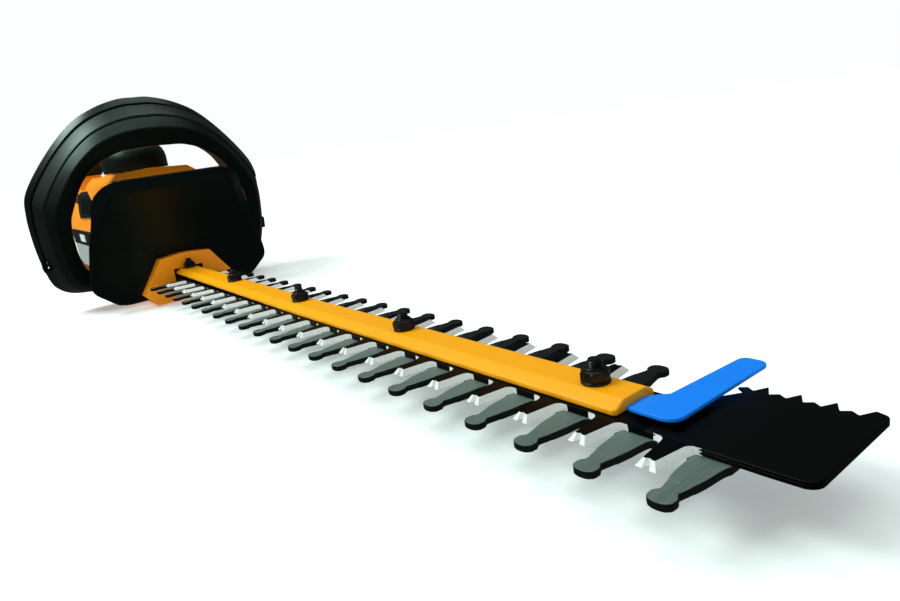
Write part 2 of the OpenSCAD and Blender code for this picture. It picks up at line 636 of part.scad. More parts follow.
// Front view of one half of the guard (y, z), bottom middle to top middle
GUARD_HALF = concat([[0, -15], [guard_half - 27, -15], [guard_half - 19, -13], [guard_half - 9, -5],
    [guard_half - 1, 3], [guard_half, 14], [guard_half - 4.5, 37], [guard_half - 7.5, 51],
    [guard_half - 13, 70]], arc([guard_half - 39, guard_top - 24], 24, 12, 90, 7),
    [[0, guard_top + 1]]);
module hand_guard() place() color("#101312") difference() {
    intersection() {
        side(-guard_half - 5, guard_half + 5) polygon(concat(
            [[guard_x - guard_t, -20], [guard_x, -20]],
            [for (z = [guard_bend:8:guard_top - guard_rim]) [lean_x(z), z]],
            [[lean_x(guard_top - guard_rim), guard_top - guard_rim],
             [lean_x(guard_top) - 14, guard_top + 2],
             [lean_x(guard_top) - 22, guard_top + 2], [lean_x(guard_top) - 22, guard_top - 2],
             [lean_x(guard_top) - 17, guard_top - 3]],
            [for (z = [guard_top - guard_rim - 4:-8:guard_bend]) [lean_x(z) - guard_t, z]]));
        front(guard_x - 40, guard_x + 80) polygon(mirrored(GUARD_HALF));
    }
    front(guard_x - 10, guard_x + 4) nose_section(-0.3);
    guard_axes(1.75 + FIT, 20);
    // flat seats for the screw heads
    for (p = guard_spots) translate([lean_x(p[1]) - 0.8, p[0], p[1]])
        rotate([0, 90, 0]) cylinder(h = 6, r = 3.6);
}
// Four screws hold the guard to the front wall of the housing
guard_spots = [[-32, 34], [32, 34], [-20, 30.5], [20, 30.5]];
module guard_axes(r, l) {
    for (p = guard_spots) translate([guard_x + 3, p[0], p[1]]) rotate([0, -90, 0]) cylinder(h = l, r = r);
}
module guard_screws() place() color("#2a2a2a") for (p = guard_spots)
    translate([lean_x(p[1]) - 0.8, p[0], p[1]]) rotate([0, -90, 0]) {
        cylinder(h = guard_t + 8, r = 1.75);
        translate([0, 0, -2.2]) cylinder(h = 2.2, r = 3.4);
    }

// ---------------------------------------------------------------- loop handle
// Catmull-Rom curve through a list of points, n steps a span
function spline(p, n) = concat([for (i = [0:len(p) - 2], j = [0:n - 1])
    let (t = j / n, a = p[max(i - 1, 0)], b = p[i], c = p[i + 1], d = p[min(i + 2, len(p) - 1)])
    ((-t + 2 * t * t - t * t * t) * a + (2 - 5 * t * t + 3 * t * t * t) * b
     + (t + 4 * t * t - 3 * t * t * t) * c + (-t * t + t * t * t) * d) / 2], [p[len(p) - 1]]);
leg_y = 44;                                  // inner end of the legs, at the housing side
// Outer and inner outline of one half of the loop (y, z), leg end to top middle
LOOP_OUT = [[leg_y, -4], [loop_half - 30, -4], [loop_half - 10, 6], [loop_half - 3, 26], [loop_half, 55],
    [loop_half - 0.5, 86], [loop_half - 6, 108], [loop_half - 30, loop_top - 45.5],
    [loop_half - 56, loop_top - 20],
    [38, loop_top - 7], [15, loop_top - 0.5], [0, loop_top]];
LOOP_IN = [[leg_y, 22], [loop_half - 48, 23], [loop_half - 37, 31], [loop_half - 32, 46],
    [loop_half - 31, 64],
    [loop_half - 32, 80], [loop_half - 36, 92], [loop_half - 50, 118], [loop_half - 68, loop_top - 52.5],
    [31, loop_top - 45], [14, loop_top - 43.5], [0, loop_top - 43]];
function whole(h) = let (s = spline(h, 3)) concat(s, [for (i = [len(s) - 2:-1:0]) [-s[i][0], s[i][1]]]);
OUT_PATH = whole(LOOP_OUT);
IN_PATH = whole(LOOP_IN);

// Solid swept along the loop: section points are
// [depth from the back, fraction from outer to inner outline]
module loop_sweep(section, i0 = 0, i1 = len(OUT_PATH) - 1) {
    m = len(section);
    pts = [for (i = [i0:i1], q = section) let (p = OUT_PATH[i] + q[1] * (IN_PATH[i] - OUT_PATH[i]))
        [q[0], p[0], p[1]]];
    n = i1 - i0;
    polyhedron(pts, concat(
        [for (i = [0:n - 1], j = [0:m - 1]) let (k = (j + 1) % m)
            [i * m + j, i * m + k, (i + 1) * m + k, (i + 1) * m + j]],
        [[for (j = [m - 1:-1:0]) j]], [[for (j = [0:m - 1]) n * m + j]]), convexity = 8);
}
module loop_place() place() translate([loop_x, 0, bail_z])
    rotate([0, loop_lean, 0]) translate([0, 0, -bail_z]) children();

// Outer surface of the loop: fraction as a function of depth
function skin(a) = a < 34 ? 0.0113 * a : 0.384 + (a - 34) * 0.0216;
bail_edge = 9;                               // front edge of the switch bar
shell_edge = 15;                             // back edge of the front shell
FRONT_SECTION = [[shell_edge, skin(shell_edge)], [34, skin(34)], [loop_depth - 1, skin(loop_depth - 1)],
    [loop_depth, skin(loop_depth) + 0.03], [loop_depth, 0.96], [loop_depth - 1.5, 1], [shell_edge, 1],
    [shell_edge, 0.91], [loop_depth - 3.5, 0.91], [loop_depth - 3.5, 0.66], [33, 0.47],
    [shell_edge, skin(shell_edge) + 0.09]];
BACK_SECTION = [[5, 0.18], [shell_edge - 0.1, 0.18], [shell_edge - 0.1, 0.3], [8, 0.3], [8, 0.91],
    [shell_edge - 0.1, 0.91], [shell_edge - 0.1, 1], [7, 1], [5, 0.95]];
grip_rise = 0.045;                           // the soft strip stands this fraction proud of the shell
GRIP_SECTION = [[shell_edge + 1.5, skin(shell_edge + 1.5) - grip_rise], [32.4, skin(32.4) - grip_rise],
    [33.4, skin(33.4) - 0.004],
    [shell_edge + 0.6, skin(shell_edge + 0.6) - 0.004]];
BAIL_SECTION = [[0, 0.04], [1.5, 0], [bail_edge, 0.12], [bail_edge, 0.155], [0, 0.15]];
last = len(OUT_PATH) - 1;
bail_from = 10;                               // path step at which the switch bar starts
grip_from = 17;                              // path step at which the soft grip starts
pivot_a = 4.5;                               // depth of the bail pivot
pivot_y = loop_half - 5.6;

module loop_front() loop_place() color("#141716") difference() {
    union() {
        loop_sweep(FRONT_SECTION);
        for (s = [-1, 1]) translate([shell_edge + 1.5, s * (leg_y + 8) - 7.8, 7]) cube([18, 15.6, 12.6]);
    }
    for (a = [20, 29]) translate([a, -60, 13.5]) rotate([-90, 0, 0]) cylinder(h = 120, r = 2 + FIT);
}
module loop_back() loop_place() color("#191d1c") difference() {
    loop_sweep(BACK_SECTION);
    for (s = [-1, 1]) translate([pivot_a + 4, s * (pivot_y - 6) - 8, bail_z]) rotate([-90, 0, 0])
        cylinder(h = 16, r = 2 + FIT);
}
module loop_grip() loop_place() color("#2c3331") loop_sweep(GRIP_SECTION, grip_from, last - grip_from);
module front_switch_bar() loop_place() color("#1b201e") difference() {
    union() {
        loop_sweep(BAIL_SECTION, bail_from, last - bail_from);
        for (s = [-1, 1]) translate([0, s * pivot_y + (s > 0 ? -0.2 : -3.8), bail_z - 6]) cube([13, 4, 12]);
    }
    for (s = [-1, 1]) translate([pivot_a + 4, s * pivot_y - 8, bail_z]) rotate([-90, 0, 0])
        cylinder(h = 16, r = 2);
}
module bail_pins() loop_place() color("silver")
    for (s = [-1, 1]) translate([pivot_a + 4, s * (pivot_y - 1.8) - 5.4, bail_z])
        rotate([-90, 0, 0]) cylinder(h = 10.8, r = 2);
// Screws that hold the legs of the loop to the housing sides
module loop_screw_axes(a, b, r) {
    for (d = [20, 29]) translate([loop_x, 0, bail_z])
        rotate([0, loop_lean, 0]) translate([d, a, 13.5 - bail_z])
        rotate([-90, 0, 0]) cylinder(h = b - a, r = r);
}
module loop_screws() place() color("silver") {
    loop_screw_axes(37.4, 58, 2);
    loop_screw_axes(37.4, 39.6, 3.6);
    loop_screw_axes(-58, -37.4, 2);
    loop_screw_axes(-39.6, -37.4, 3.6);
}

// ---------------------------------------------------------------- switches
trig_x = bx(219);
trig_z = 142;
module trigger_axis(a, b, r) {
    translate([trig_x, a, trig_z]) rotate([-90, 0, 0]) cylinder(h = b - a, r = r);
}
module trigger() place() color("#c22a16") difference() {
    side(-8, 8) polygon(concat([[bx(215), 147], [bx(214.5), 138]], [[bx(222), 131]],
        arc([bx(240), 142], 15, 300, 250, 3), arc([bx(262), 132], 8, 270, 180, 4), [[bx(270), 146]]));
    trigger_axis(-20, 20, 2 + FIT);
}
module trigger_pin() place() color("silver") trigger_axis(-core_half + 0.5, core_half - 0.5, 2);
module trigger_spring() place() color("silver") translate([bx(262), 0, 146.6]) difference() {
    cylinder(h = 6.4, r = 3.4);
    translate([0, 0, -1]) cylinder(h = 9, r = 2.5);
}
module rear_switch() place() color("#202020") {
    translate([bx(258), -6, 152.4]) cube([22, 12, 6.4]);
    translate([bx(250), -2, 151.2]) cube([4, 4, 1.4]);
}
module front_switch() loop_place() color("#202020") translate([9, 90, 44]) cube([5.5, 15, 18]);

module control_board() place() color("#1f6b3a") {
    translate([bx(243), -24, 6]) cube([46, 48, 1.6]);
    for (y = [-12, 12]) translate([bx(208), y, 7.6]) cylinder(h = 16, d = 10);
    translate([bx(236), -15, 7.6]) cube([16, 30, 9]);
    for (x = [bx(239), bx(201)], y = [-21, 21])
        translate([x, y, wall - floor_drop]) cylinder(h = 6 + floor_drop - wall, d = 5);
}

// ---------------------------------------------------------------- battery
batt_z0 = -floor_drop;
batt_split = 24;
shell = 2.5;
module battery_outline(g) {
    translate([batt_x - batt_len + g, -batt_half + g])
        square([batt_len - 2 * g, 2 * batt_half - 2 * g]);
}
module blade_slots(g) {
    for (y = [-14, 0, 14]) translate([batt_x - 13 - g, y - 0.6 - g, 28 - g])
        cube([14 + 2 * g, 1.2 + 2 * g, 9 + 2 * g]);
}
latch_x = batt_x - batt_len;
module latch_pocket() {
    translate([latch_x - 2, -batt_half - 2, batt_z0 + shell]) cube([22, 2 * batt_half + 4, 16]);
}

module battery_top() place() color("#15181a") difference() {
    union() {
        translate([0, 0, batt_split + 0.05])
            linear_extrude(batt_top - batt_split - 0.05) battery_outline(0);
        for (s = [-1, 1]) translate([batt_x - batt_len + 8, s * rail_y, batt_top - 0.1]) {
            translate([0, -3, 0]) cube([batt_len - 14, 6, 3.3]);
            translate([0, -6, 3.2]) cube([batt_len - 14, 12, 2.6]);
        }
    }
    translate([0, 0, batt_split - 1]) linear_extrude(batt_top - batt_split + 1 - shell) battery_outline(shell);
    blade_slots(EASE);
}
module battery_bottom() place() color("#b9c1bf") difference() {
    translate([0, 0, batt_z0]) linear_extrude(batt_split - batt_z0) battery_outline(0);
    translate([0, 0, batt_z0 + shell]) linear_extrude(80) battery_outline(shell);
    latch_pocket();
}
module battery_cells() place() color("#3b6fa8") for (i = [0:4], r = [0, 1])
    translate([batt_x - 30 - cell_d / 2 - i * (cell_d + 0.4), -35,
        batt_z0 + shell + 0.2 + cell_d / 2 + r * (cell_d + 0.3)])
        rotate([-90, 0, 0]) cylinder(h = 70, d = cell_d);
module battery_board() place() color("#1f6b3a") {
    translate([batt_x - 24, -33, batt_z0 + shell]) cube([1.6, 66, 42]);
    for (y = [-14, 0, 14]) translate([batt_x - 26, y - 3, 26]) cube([8, 1.8, 12]);
}
module battery_latch() place() color("#c8201c") difference() {
    translate([latch_x - 1, -batt_half - 1, batt_z0 + shell + 0.5]) cube([15, 2 * batt_half + 2, 15]);
    translate([latch_x + 3, -batt_half + 6, batt_z0]) cube([30, 2 * batt_half - 12, 40]);
}
module battery_badge() place() color("#d9dedc") for (s = [-1, 1])
    translate([batt_x - 96, s > 0 ? batt_half : -batt_half - 0.8, 29]) cube([38, 0.8, 10]);
module terminal_block() place() color("#222222") {
    translate([bay_x - 3.2, -24, 24]) cube([3, 48, 16]);
    for (y = [-14, 0, 14]) translate([batt_x - 12, y - 0.6, 28])
        cube([batt_x < bay_x ? bay_x - batt_x + 10 : 10, 1.2, 9]);
}

finger_comb();
cutter_blade();
saw_tip();
saw_rivets();
blade_bar();
branch_stop();
blade_bolts();
guide_bushes();
blade_nuts();
blade_mount_screws();
gear_case();
gear_cover();
gear_cover_screws();
drive_gear();
gear_axle();
crank_rod();
pinion();
motor_can();
rotor();
motor_bearings();
motor_screws();
housing_left();
housing_right();
housing_screws();
vent_left();
vent_right();
grip_cover_left();
grip_cover_right();
hand_guard();
guard_screws();
loop_front();
loop_back();
loop_grip();
loop_screws();
front_switch_bar();
bail_pins();
trigger();
trigger_pin();
trigger_spring();
rear_switch();
front_switch();
control_board();
terminal_block();
battery_top();
battery_bottom();
battery_cells();
battery_board();
battery_latch();
battery_badge();
blade_seal();
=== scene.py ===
# %% [markdown]
# # A cordless hedge trimmer
# A hedge trimmer is two things joined at the nose: a long double-sided blade of hardened steel, and
# a moulded body that holds the motor, two handles and a battery. The imported model already gives
# every place and size. This lesson gives the looks: refined surfaces for what shows, a material for
# every piece, soft studio light and a camera.
#
# The box of the whole model is taken first, before anything is added, and the floor is laid at its bottom.

# %% Load the frame
import json
import math

import bmesh
import bpy
import numpy as np
from mathutils import Matrix, Vector

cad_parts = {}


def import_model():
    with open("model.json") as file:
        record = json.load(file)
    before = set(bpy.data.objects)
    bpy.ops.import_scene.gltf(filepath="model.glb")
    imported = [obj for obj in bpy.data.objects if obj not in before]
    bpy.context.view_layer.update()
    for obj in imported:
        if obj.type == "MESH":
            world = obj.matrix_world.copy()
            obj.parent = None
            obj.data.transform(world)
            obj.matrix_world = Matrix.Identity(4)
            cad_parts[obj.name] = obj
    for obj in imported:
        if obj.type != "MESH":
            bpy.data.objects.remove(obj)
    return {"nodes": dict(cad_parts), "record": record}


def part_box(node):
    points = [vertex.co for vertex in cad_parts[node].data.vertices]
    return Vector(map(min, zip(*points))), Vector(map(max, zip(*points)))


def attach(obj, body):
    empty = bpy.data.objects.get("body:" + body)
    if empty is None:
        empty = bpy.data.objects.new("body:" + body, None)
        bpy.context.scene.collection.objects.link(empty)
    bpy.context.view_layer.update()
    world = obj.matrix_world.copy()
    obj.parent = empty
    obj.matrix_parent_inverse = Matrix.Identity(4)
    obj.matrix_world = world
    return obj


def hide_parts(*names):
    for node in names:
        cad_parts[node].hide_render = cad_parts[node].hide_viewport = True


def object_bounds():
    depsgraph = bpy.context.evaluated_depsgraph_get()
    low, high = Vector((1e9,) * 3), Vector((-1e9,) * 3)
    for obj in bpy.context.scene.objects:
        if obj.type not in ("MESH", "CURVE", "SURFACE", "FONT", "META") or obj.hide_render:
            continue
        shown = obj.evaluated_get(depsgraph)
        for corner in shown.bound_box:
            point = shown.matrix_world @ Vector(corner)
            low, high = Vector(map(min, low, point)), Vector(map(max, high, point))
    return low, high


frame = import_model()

CAD_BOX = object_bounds()
print("frame box, mm:", [round(1000 * v) for corner in CAD_BOX for v in corner])

# %% [markdown]
# ## Places
# A trimmer is laid out from its blade, so every size below is in millimetres in blade coordinates:
# x = 0 at the finger nearest the tip, +X to the tip, z = 0 at the top face of the fixed comb. The
# origin comes from the frame's comb, whose foremost edge is the root of that first finger. Working
# in the object's own coordinates keeps the numbers short and the two sides of the blade symmetric.

# %% Blade coordinates
MM = 0.001
FINGER_ROOT = 6.9                    # half width of a finger where it leaves the blade body
comb_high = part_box("finger_comb")[1]
ORIGIN = np.array([comb_high.x - FINGER_ROOT * MM, 0.0, comb_high.z])


def world(points):
    """Blade millimetres to frame metres: p times 0.001, moved to the frame's own blade origin."""
    return np.asarray(points, float) * MM + ORIGIN


def blade_x(node, side):
    """The lowest (0) or highest (1) x of a frame node, in blade millimetres."""
    return (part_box(node)[side].x - ORIGIN[0]) / MM


def blade_z(node, side):
    """The lowest (0) or highest (1) z of a frame node, in blade millimetres."""
    return (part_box(node)[side].z - ORIGIN[2]) / MM


FLOOR = blade_z("housing_left", 0)
PITCH = 27.0                         # from finger to finger
FINGERS = 22
NOSE_GAP = 9.0                       # from the last finger back to the front of the nose
NOSE_X = -PITCH * (FINGERS - 1) - NOSE_GAP
print("floor at", round(FLOOR, 2), "nose at", NOSE_X)

# %% [markdown]
# ## The camera
# A long thin tool is best shown from low over its tip with a wide lens: the blade then runs away
# from the viewer and its fingers shrink in even steps. A camera looks along its own -Z, so its
# three axes are built from the line of sight and a roll, and set as the columns of its matrix.

# %% Camera
EYE = Vector((0.60261, -0.17059, 0.12681))
AIM = Vector((0.27639, 0.06509, 0.022))
ROLL = -0.1453                       # radians, turned about the line of sight
forward = (AIM - EYE).normalized()
level = forward.cross(Vector((0, 0, 1))).normalized()
up = level.cross(forward)
right = math.cos(ROLL) * level + math.sin(ROLL) * up
up = -math.sin(ROLL) * level + math.cos(ROLL) * up
camera = bpy.data.objects.new("camera", bpy.data.cameras.new("camera"))
bpy.context.scene.collection.objects.link(camera)
camera.matrix_world = Matrix.Translation(EYE) @ Matrix((right, up, -forward)).transposed().to_4x4()
camera.data.lens = 25.73
camera.data.sensor_width = 36
camera.data.clip_start = 0.01
bpy.context.scene.camera = camera
bpy.context.scene.view_settings.view_transform = "Standard"

# %% [markdown]
# ## Two helpers for materials
# Colours are easiest to choose as sRGB hex codes, while a shader works in linear light, so one
# function converts them. Another adds a node with its settings and links in one line, which keeps a
# node tree readable as a list of steps.

# %% Node and colour helpers
def linear(code, alpha=1.0):
    """An sRGB hex colour as linear RGBA: each channel c becomes ((c + 0.055) / 1.055) ** 2.4."""
    c = np.array([int(code[i:i + 2], 16) for i in (1, 3, 5)]) / 255
    return (*np.where(c <= 0.04045, c / 12.92, ((c + 0.055) / 1.055) ** 2.4), alpha)


def add(tree, kind, settings=(), links=()):
    """Adds a node: settings are socket or property values, links are (input, source socket)."""
    node = tree.nodes.new(kind)
    for key, value in dict(settings).items():
        if key in node.inputs:
            node.inputs[key].default_value = value
        else:
            setattr(node, key, value)
    for key, source in dict(links).items():
        tree.links.new(source, node.inputs[key])
    return node


# %% [markdown]
# ## World, floor and lamps
# White surroundings and one large soft lamp from the upper left give black plastic its long
# highlights. A white room would also turn every glossy face pale, so the world and the floor are
# bright to the camera and to matt faces, and dark to glossy rays. A real studio does the same with
# black flags beside the set.

# %% World
ROOM_DARK = linear("#cfe0db")        # what glossy faces mirror instead of the white room
ROOM_DARK_STRENGTH = 0.1
surroundings = bpy.data.worlds.new("white_studio")
bpy.context.scene.world = surroundings
surroundings.use_nodes = True
air = surroundings.node_tree
air.nodes.clear()
seen = add(air, "ShaderNodeLightPath")
# what the camera sees, what lights matt faces, and the darker room that glossy faces mirror
plain = add(air, "ShaderNodeBackground", {"Color": linear("#fdfefe"), "Strength": 1.0})
fill = add(air, "ShaderNodeBackground", {"Color": linear("#eef5f3"), "Strength": 0.5})
mirrored = add(air, "ShaderNodeBackground", {"Color": ROOM_DARK, "Strength": ROOM_DARK_STRENGTH})
inner = add(air, "ShaderNodeMixShader", {}, {0: seen.outputs["Is Glossy Ray"], 1: fill.outputs[0],
                                             2: mirrored.outputs[0]})
pick = add(air, "ShaderNodeMixShader", {}, {0: seen.outputs["Is Camera Ray"], 1: inner.outputs[0],
                                            2: plain.outputs[0]})
add(air, "ShaderNodeOutputWorld", {}, {"Surface": pick.outputs[0]})


# %% Lamps
def lamp(name, place, target, width, height, watts, code="#ffffff"):
    """A rectangular soft lamp at place, in metres, that faces target."""
    data = bpy.data.lights.new(name, "AREA")
    data.shape, data.size, data.size_y, data.energy = "RECTANGLE", width, height, watts
    data.color = linear(code)[:3]
    obj = bpy.data.objects.new(name, data)
    bpy.context.scene.collection.objects.link(obj)
    obj.location = place
    obj.rotation_mode = "QUATERNION"
    obj.rotation_quaternion = (Vector(target) - Vector(place)).to_track_quat("-Z", "Y")
    return obj


lamp("key_softbox", (-0.35, -0.7, 1.15), (-0.1, 0, 0.1), 0.9, 0.45, 15, "#f4fffb")
lamp("top_softbox", (0.1, 0.2, 1.7), (0, 0, 0), 2.0, 1.0, 9, "#f6fffc")

# %% Floor
FLOOR_REACH = 30.0                   # metres each way, far enough to meet the background unseen
floor_mesh = bpy.data.meshes.new("floor")
floor_corners = [(FLOOR_REACH * a, FLOOR_REACH * b, 0) for a, b in ((-1, -1), (1, -1), (1, 1), (-1, 1))]
floor_mesh.from_pydata(floor_corners, [], [(0, 1, 2, 3)])
floor = bpy.data.objects.new("floor", floor_mesh)
bpy.context.scene.collection.objects.link(floor)
floor.location.z = CAD_BOX[0].z
paper = bpy.data.materials.new("matt_white_paper")
paper.use_nodes = True
pulp = paper.node_tree
sheet = pulp.nodes["Principled BSDF"]
sheet.inputs["Base Color"].default_value = linear("#eef6f4")
sheet.inputs["Roughness"].default_value = 0.95
sheet.inputs["Specular IOR Level"].default_value = 0.0
# lit from behind like a light table: faintly under the tool, where its shadow shows, and fully
# beyond it, so that the paper runs white into the background. Glossy faces mirror it darker.
spot = add(pulp, "ShaderNodeTexCoord").outputs["Object"]
away = add(pulp, "ShaderNodeVectorMath", {"operation": "LENGTH"}, {0: spot}).outputs["Value"]
glow = add(pulp, "ShaderNodeMapRange", {"From Min": 0.55, "From Max": 1.9, "To Min": 0.3, "To Max": 0.75},
           {"Value": away})
sheet.inputs["Emission Color"].default_value = linear("#eef5f3")
pulp.links.new(glow.outputs[0], sheet.inputs["Emission Strength"])
seen_by = add(pulp, "ShaderNodeLightPath")
dull = add(pulp, "ShaderNodeEmission", {"Color": ROOM_DARK, "Strength": ROOM_DARK_STRENGTH})
either = add(pulp, "ShaderNodeMixShader", {}, {0: seen_by.outputs["Is Glossy Ray"], 1: sheet.outputs[0],
                                               2: dull.outputs[0]})
pulp.links.new(either.outputs[0], pulp.nodes["Material Output"].inputs["Surface"])
floor_mesh.materials.append(paper)
print("floor and lamps are set")

# %% [markdown]
# ## What every finish shares
# No real surface has one colour or one roughness all over, and a flat one reads as plastic from a
# computer. So one function lays down what every finish has: a base colour that drifts a little, a
# fine bump at the grain's real size, and roughness that varies with the same grain. Stretching the
# pattern along one axis turns grain into grinding or drawing marks. The pattern reads Object
# coordinates, so it is in metres and never slides when a piece moves.

# %% The finish builder
def finish(name, dark, light, rough=(0.4, 0.5), drift=25.0, grain=1200.0, stretch=(1, 1, 1),
           bump=0.1, depth=0.00005, **sockets):
    """A material whose colour drifts from dark to light over 1 / drift metres, with a grain of
    1 / grain metres stretched along the axes. sockets are constants of the shader itself."""
    material = bpy.data.materials.new(name)
    material.use_nodes = True
    tree = material.node_tree
    shader = tree.nodes["Principled BSDF"]
    for key, value in sockets.items():
        shader.inputs[key.replace("_", " ")].default_value = value
    where = add(tree, "ShaderNodeTexCoord").outputs["Object"]
    aim = add(tree, "ShaderNodeMapping", {"Scale": stretch}, {"Vector": where})
    cloud = add(tree, "ShaderNodeTexNoise", {"Scale": drift, "Detail": 3.0}, {"Vector": aim.outputs[0]})
    colour = add(tree, "ShaderNodeMix", {"data_type": "RGBA"}, {0: cloud.outputs["Fac"]})
    colour.inputs[6].default_value, colour.inputs[7].default_value = linear(dark), linear(light)
    tree.links.new(colour.outputs[2], shader.inputs["Base Color"])
    fine = add(tree, "ShaderNodeTexNoise", {"Scale": grain, "Detail": 2.0}, {"Vector": aim.outputs[0]})
    span = add(tree, "ShaderNodeMapRange", {"To Min": rough[0], "To Max": rough[1]},
               {"Value": fine.outputs["Fac"]})
    tree.links.new(span.outputs[0], shader.inputs["Roughness"])
    relief = add(tree, "ShaderNodeBump", {"Strength": bump, "Distance": depth},
                 {"Height": fine.outputs["Fac"]})
    tree.links.new(relief.outputs[0], shader.inputs["Normal"])
    return material


# %% [markdown]
# ## The finishes
# Each one starts from the stock and the process: what the piece is made of, and what the last tool
# did to its surface. Grain scales are in cells a metre, so 1000 is a grain of one millimetre, which
# is coarser than the real grain of a mould or an oxide, so that it still shows from the camera.

# %% The finishes
COOL = linear("#bfe8dd")             # the sheen of black mouldings under daylight lamps
FINISHES = {
    # Phosphated spring steel, ground lengthwise on the fingers: grey-green with fine long scratches.
    "comb_steel": finish("phosphated_steel", "#44534f", "#73877f", (0.4, 0.6), 1400, 1500, (1, 0.03, 1),
                         0.35, 0.00008, Metallic=0.2),
    # The same steel freshly ground, with coarse wheel marks across the bevel; its shine is a painted
    # highlight, a near-white matt colour in place of a metal's reflection.
    "cutter_steel": finish("ground_steel_painted_shine", "#d3d9d5", "#fbfcfa", (0.35, 0.55), 900, 1800, (1, 1, 0.3),
                           0.3, 0.00008),
    # Black oxide keeps the steel's smoothness but hardly reflects.
    "saw_steel": finish("black_oxide_steel", "#000000", "#010202", (0.38, 0.5), 60, 1500, (1, 0.2, 1),
                        0.15, 0.00005, Specular_IOR_Level=0.14),
    # Powder coat on the stiffening bar: satin, with a faint orange peel.
    "bar_paint": finish("orange_powder_coat", "#ffa600", "#ffb000", (0.34, 0.42), 8, 420, (1, 1, 1),
                        0.1, 0.00005, Specular_IOR_Level=0.3),
    # Moulded blue polypropylene.
    "blue_plastic": finish("blue_polypropylene", "#007df2", "#0088ff", (0.36, 0.46), 20, 900, (1, 1, 1),
                           0.1, 0.00004, Specular_IOR_Level=0.25),
    # Black zinc fasteners, oiled.
    "black_steel": finish("black_zinc_steel", "#0b0f0e", "#171c1b", (0.25, 0.4), 150, 1600, (1, 1, 1),
                          0.15, 0.00004, Metallic=0.4),
    # Bright zinc plate: even, with a soft mirror.
    "zinc_steel": finish("zinc_plated_steel", "#9ba3a3", "#c2c8c6", (0.25, 0.4), 120, 1500, (1, 1, 1),
                         0.15, 0.00004, Metallic=1.0),
    # Pressure die casting: sandy skin.
    "cast_alloy": finish("die_cast_zamak", "#8b9092", "#a7acad", (0.45, 0.6), 40, 900, (1, 1, 1),
                         0.3, 0.0001, Metallic=0.9),
    # Teeth cut by a hob: marks run along each tooth, through a film of grease.
    "gear_steel": finish("hobbed_gear_steel", "#6b7073", "#8d9395", (0.3, 0.45), 60, 1200, (1, 1, 0.1),
                         0.2, 0.00005, Metallic=1.0),
    # Rolled sheet bent round into the motor's can: rolling marks along its height.
    "motor_steel": finish("rolled_motor_can", "#6c7072", "#85898a", (0.35, 0.5), 30, 1300, (1, 1, 0.05),
                          0.2, 0.00005, Metallic=0.95),
    # Lapped rings are the smoothest metal in the tool.
    "bearing_steel": finish("lapped_bearing_steel", "#b8bcbd", "#d2d6d6", (0.12, 0.2), 80, 1500, (1, 1, 1),
                            0.05, 0.00002, Metallic=1.0),
    # ABS housing: spark-eroded fine grain.
    "orange_plastic": finish("orange_abs", "#fb9000", "#ff9a00", (0.38, 0.5), 12, 1100, (1, 1, 1),
                             0.2, 0.00005, Specular_IOR_Level=0.25),
    # Glass-filled polyamide: the same grain in black, hardly reflecting where it faces down.
    "black_plastic": finish("black_polyamide", "#000000", "#010202", (0.34, 0.46), 20, 1000, (1, 1, 1),
                            0.15, 0.00005, Specular_IOR_Level=0.5, Specular_Tint=COOL),
    # The same polyamide from a polished mould, on the bar that the hand slides over.
    "satin_black": finish("polished_black_polyamide", "#000101", "#020404", (0.26, 0.36), 20, 1200,
                          (1, 1, 1), 0.05, 0.00003, Specular_IOR_Level=0.5, Specular_Tint=COOL),
    # Overmoulded elastomer: soft, wide sheen.
    "soft_black": finish("soft_touch_elastomer", "#020404", "#060a09", (0.36, 0.48), 25, 1100, (1, 1, 1),
                         0.2, 0.00005, Specular_IOR_Level=0.6, Specular_Tint=COOL),
    # Acetal slides well, so triggers and latches are moulded from it: smooth, a little waxy.
    "red_plastic": finish("red_acetal", "#b01408", "#c41c0c", (0.3, 0.4), 30, 1000, (1, 1, 1),
                          0.1, 0.00004),
    # Wire drawn through a die: bright, with marks along its length.
    "spring_steel": finish("drawn_spring_wire", "#85898a", "#a4a8a8", (0.25, 0.35), 60, 1500, (1, 1, 0.1),
                           0.1, 0.00004, Metallic=1.0),
    # Circuit board under its lacquer: glossy green over the weave of glass cloth.
    "board": finish("green_solder_resist", "#0c3d1e", "#14532b", (0.25, 0.4), 60, 1500, (1, 1, 1), 0.1,
                    0.00003),
    # Battery shell in ABS, with a deeper grain than the body, which hides scratches.
    "battery_black": finish("black_battery_abs", "#060909", "#0c1110", (0.4, 0.52), 20, 1000, (1, 1, 1),
                            0.22, 0.00006, Specular_IOR_Level=0.45,
                            Specular_Tint=COOL),
    # Pale grey ABS from the same tool, grained alike.
    "battery_grey": finish("pale_grey_abs", "#9aa4a2", "#adb7b5", (0.35, 0.48), 20, 1000, (1, 1, 1),
                           0.2, 0.00006),
    # Shrink sleeve on the cells: thin, tight and glossy.
    "cell_can": finish("blue_shrink_sleeve", "#1d4c8c", "#2a5fa6", (0.25, 0.35), 40, 1500, (1, 1, 1),
                       0.05, 0.00003),
    # A blank label: coated paper under clear film.
    "badge": finish("blank_pale_label", "#c9d0ce", "#dde2e0", (0.35, 0.45), 60, 1500, (1, 1, 1),
                    0.05, 0.00002),
    # Pressed wool felt: no sheen at all, and a deep fibrous bump.
    "felt": finish("pressed_felt", "#2c2d29", "#454640", (0.9, 1.0), 300, 1500, (1, 1, 1), 0.6, 0.0003),
}

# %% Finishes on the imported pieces
for subpart in frame["record"]["subparts"]:
    node = frame["nodes"][subpart["node"]]
    node.data.materials.clear()
    node.data.materials.append(FINISHES[subpart["material_slot"]])
frame["nodes"]["guard_screws"].data.materials[0] = FINISHES["black_plastic"]
print("finishes:", len(FINISHES))

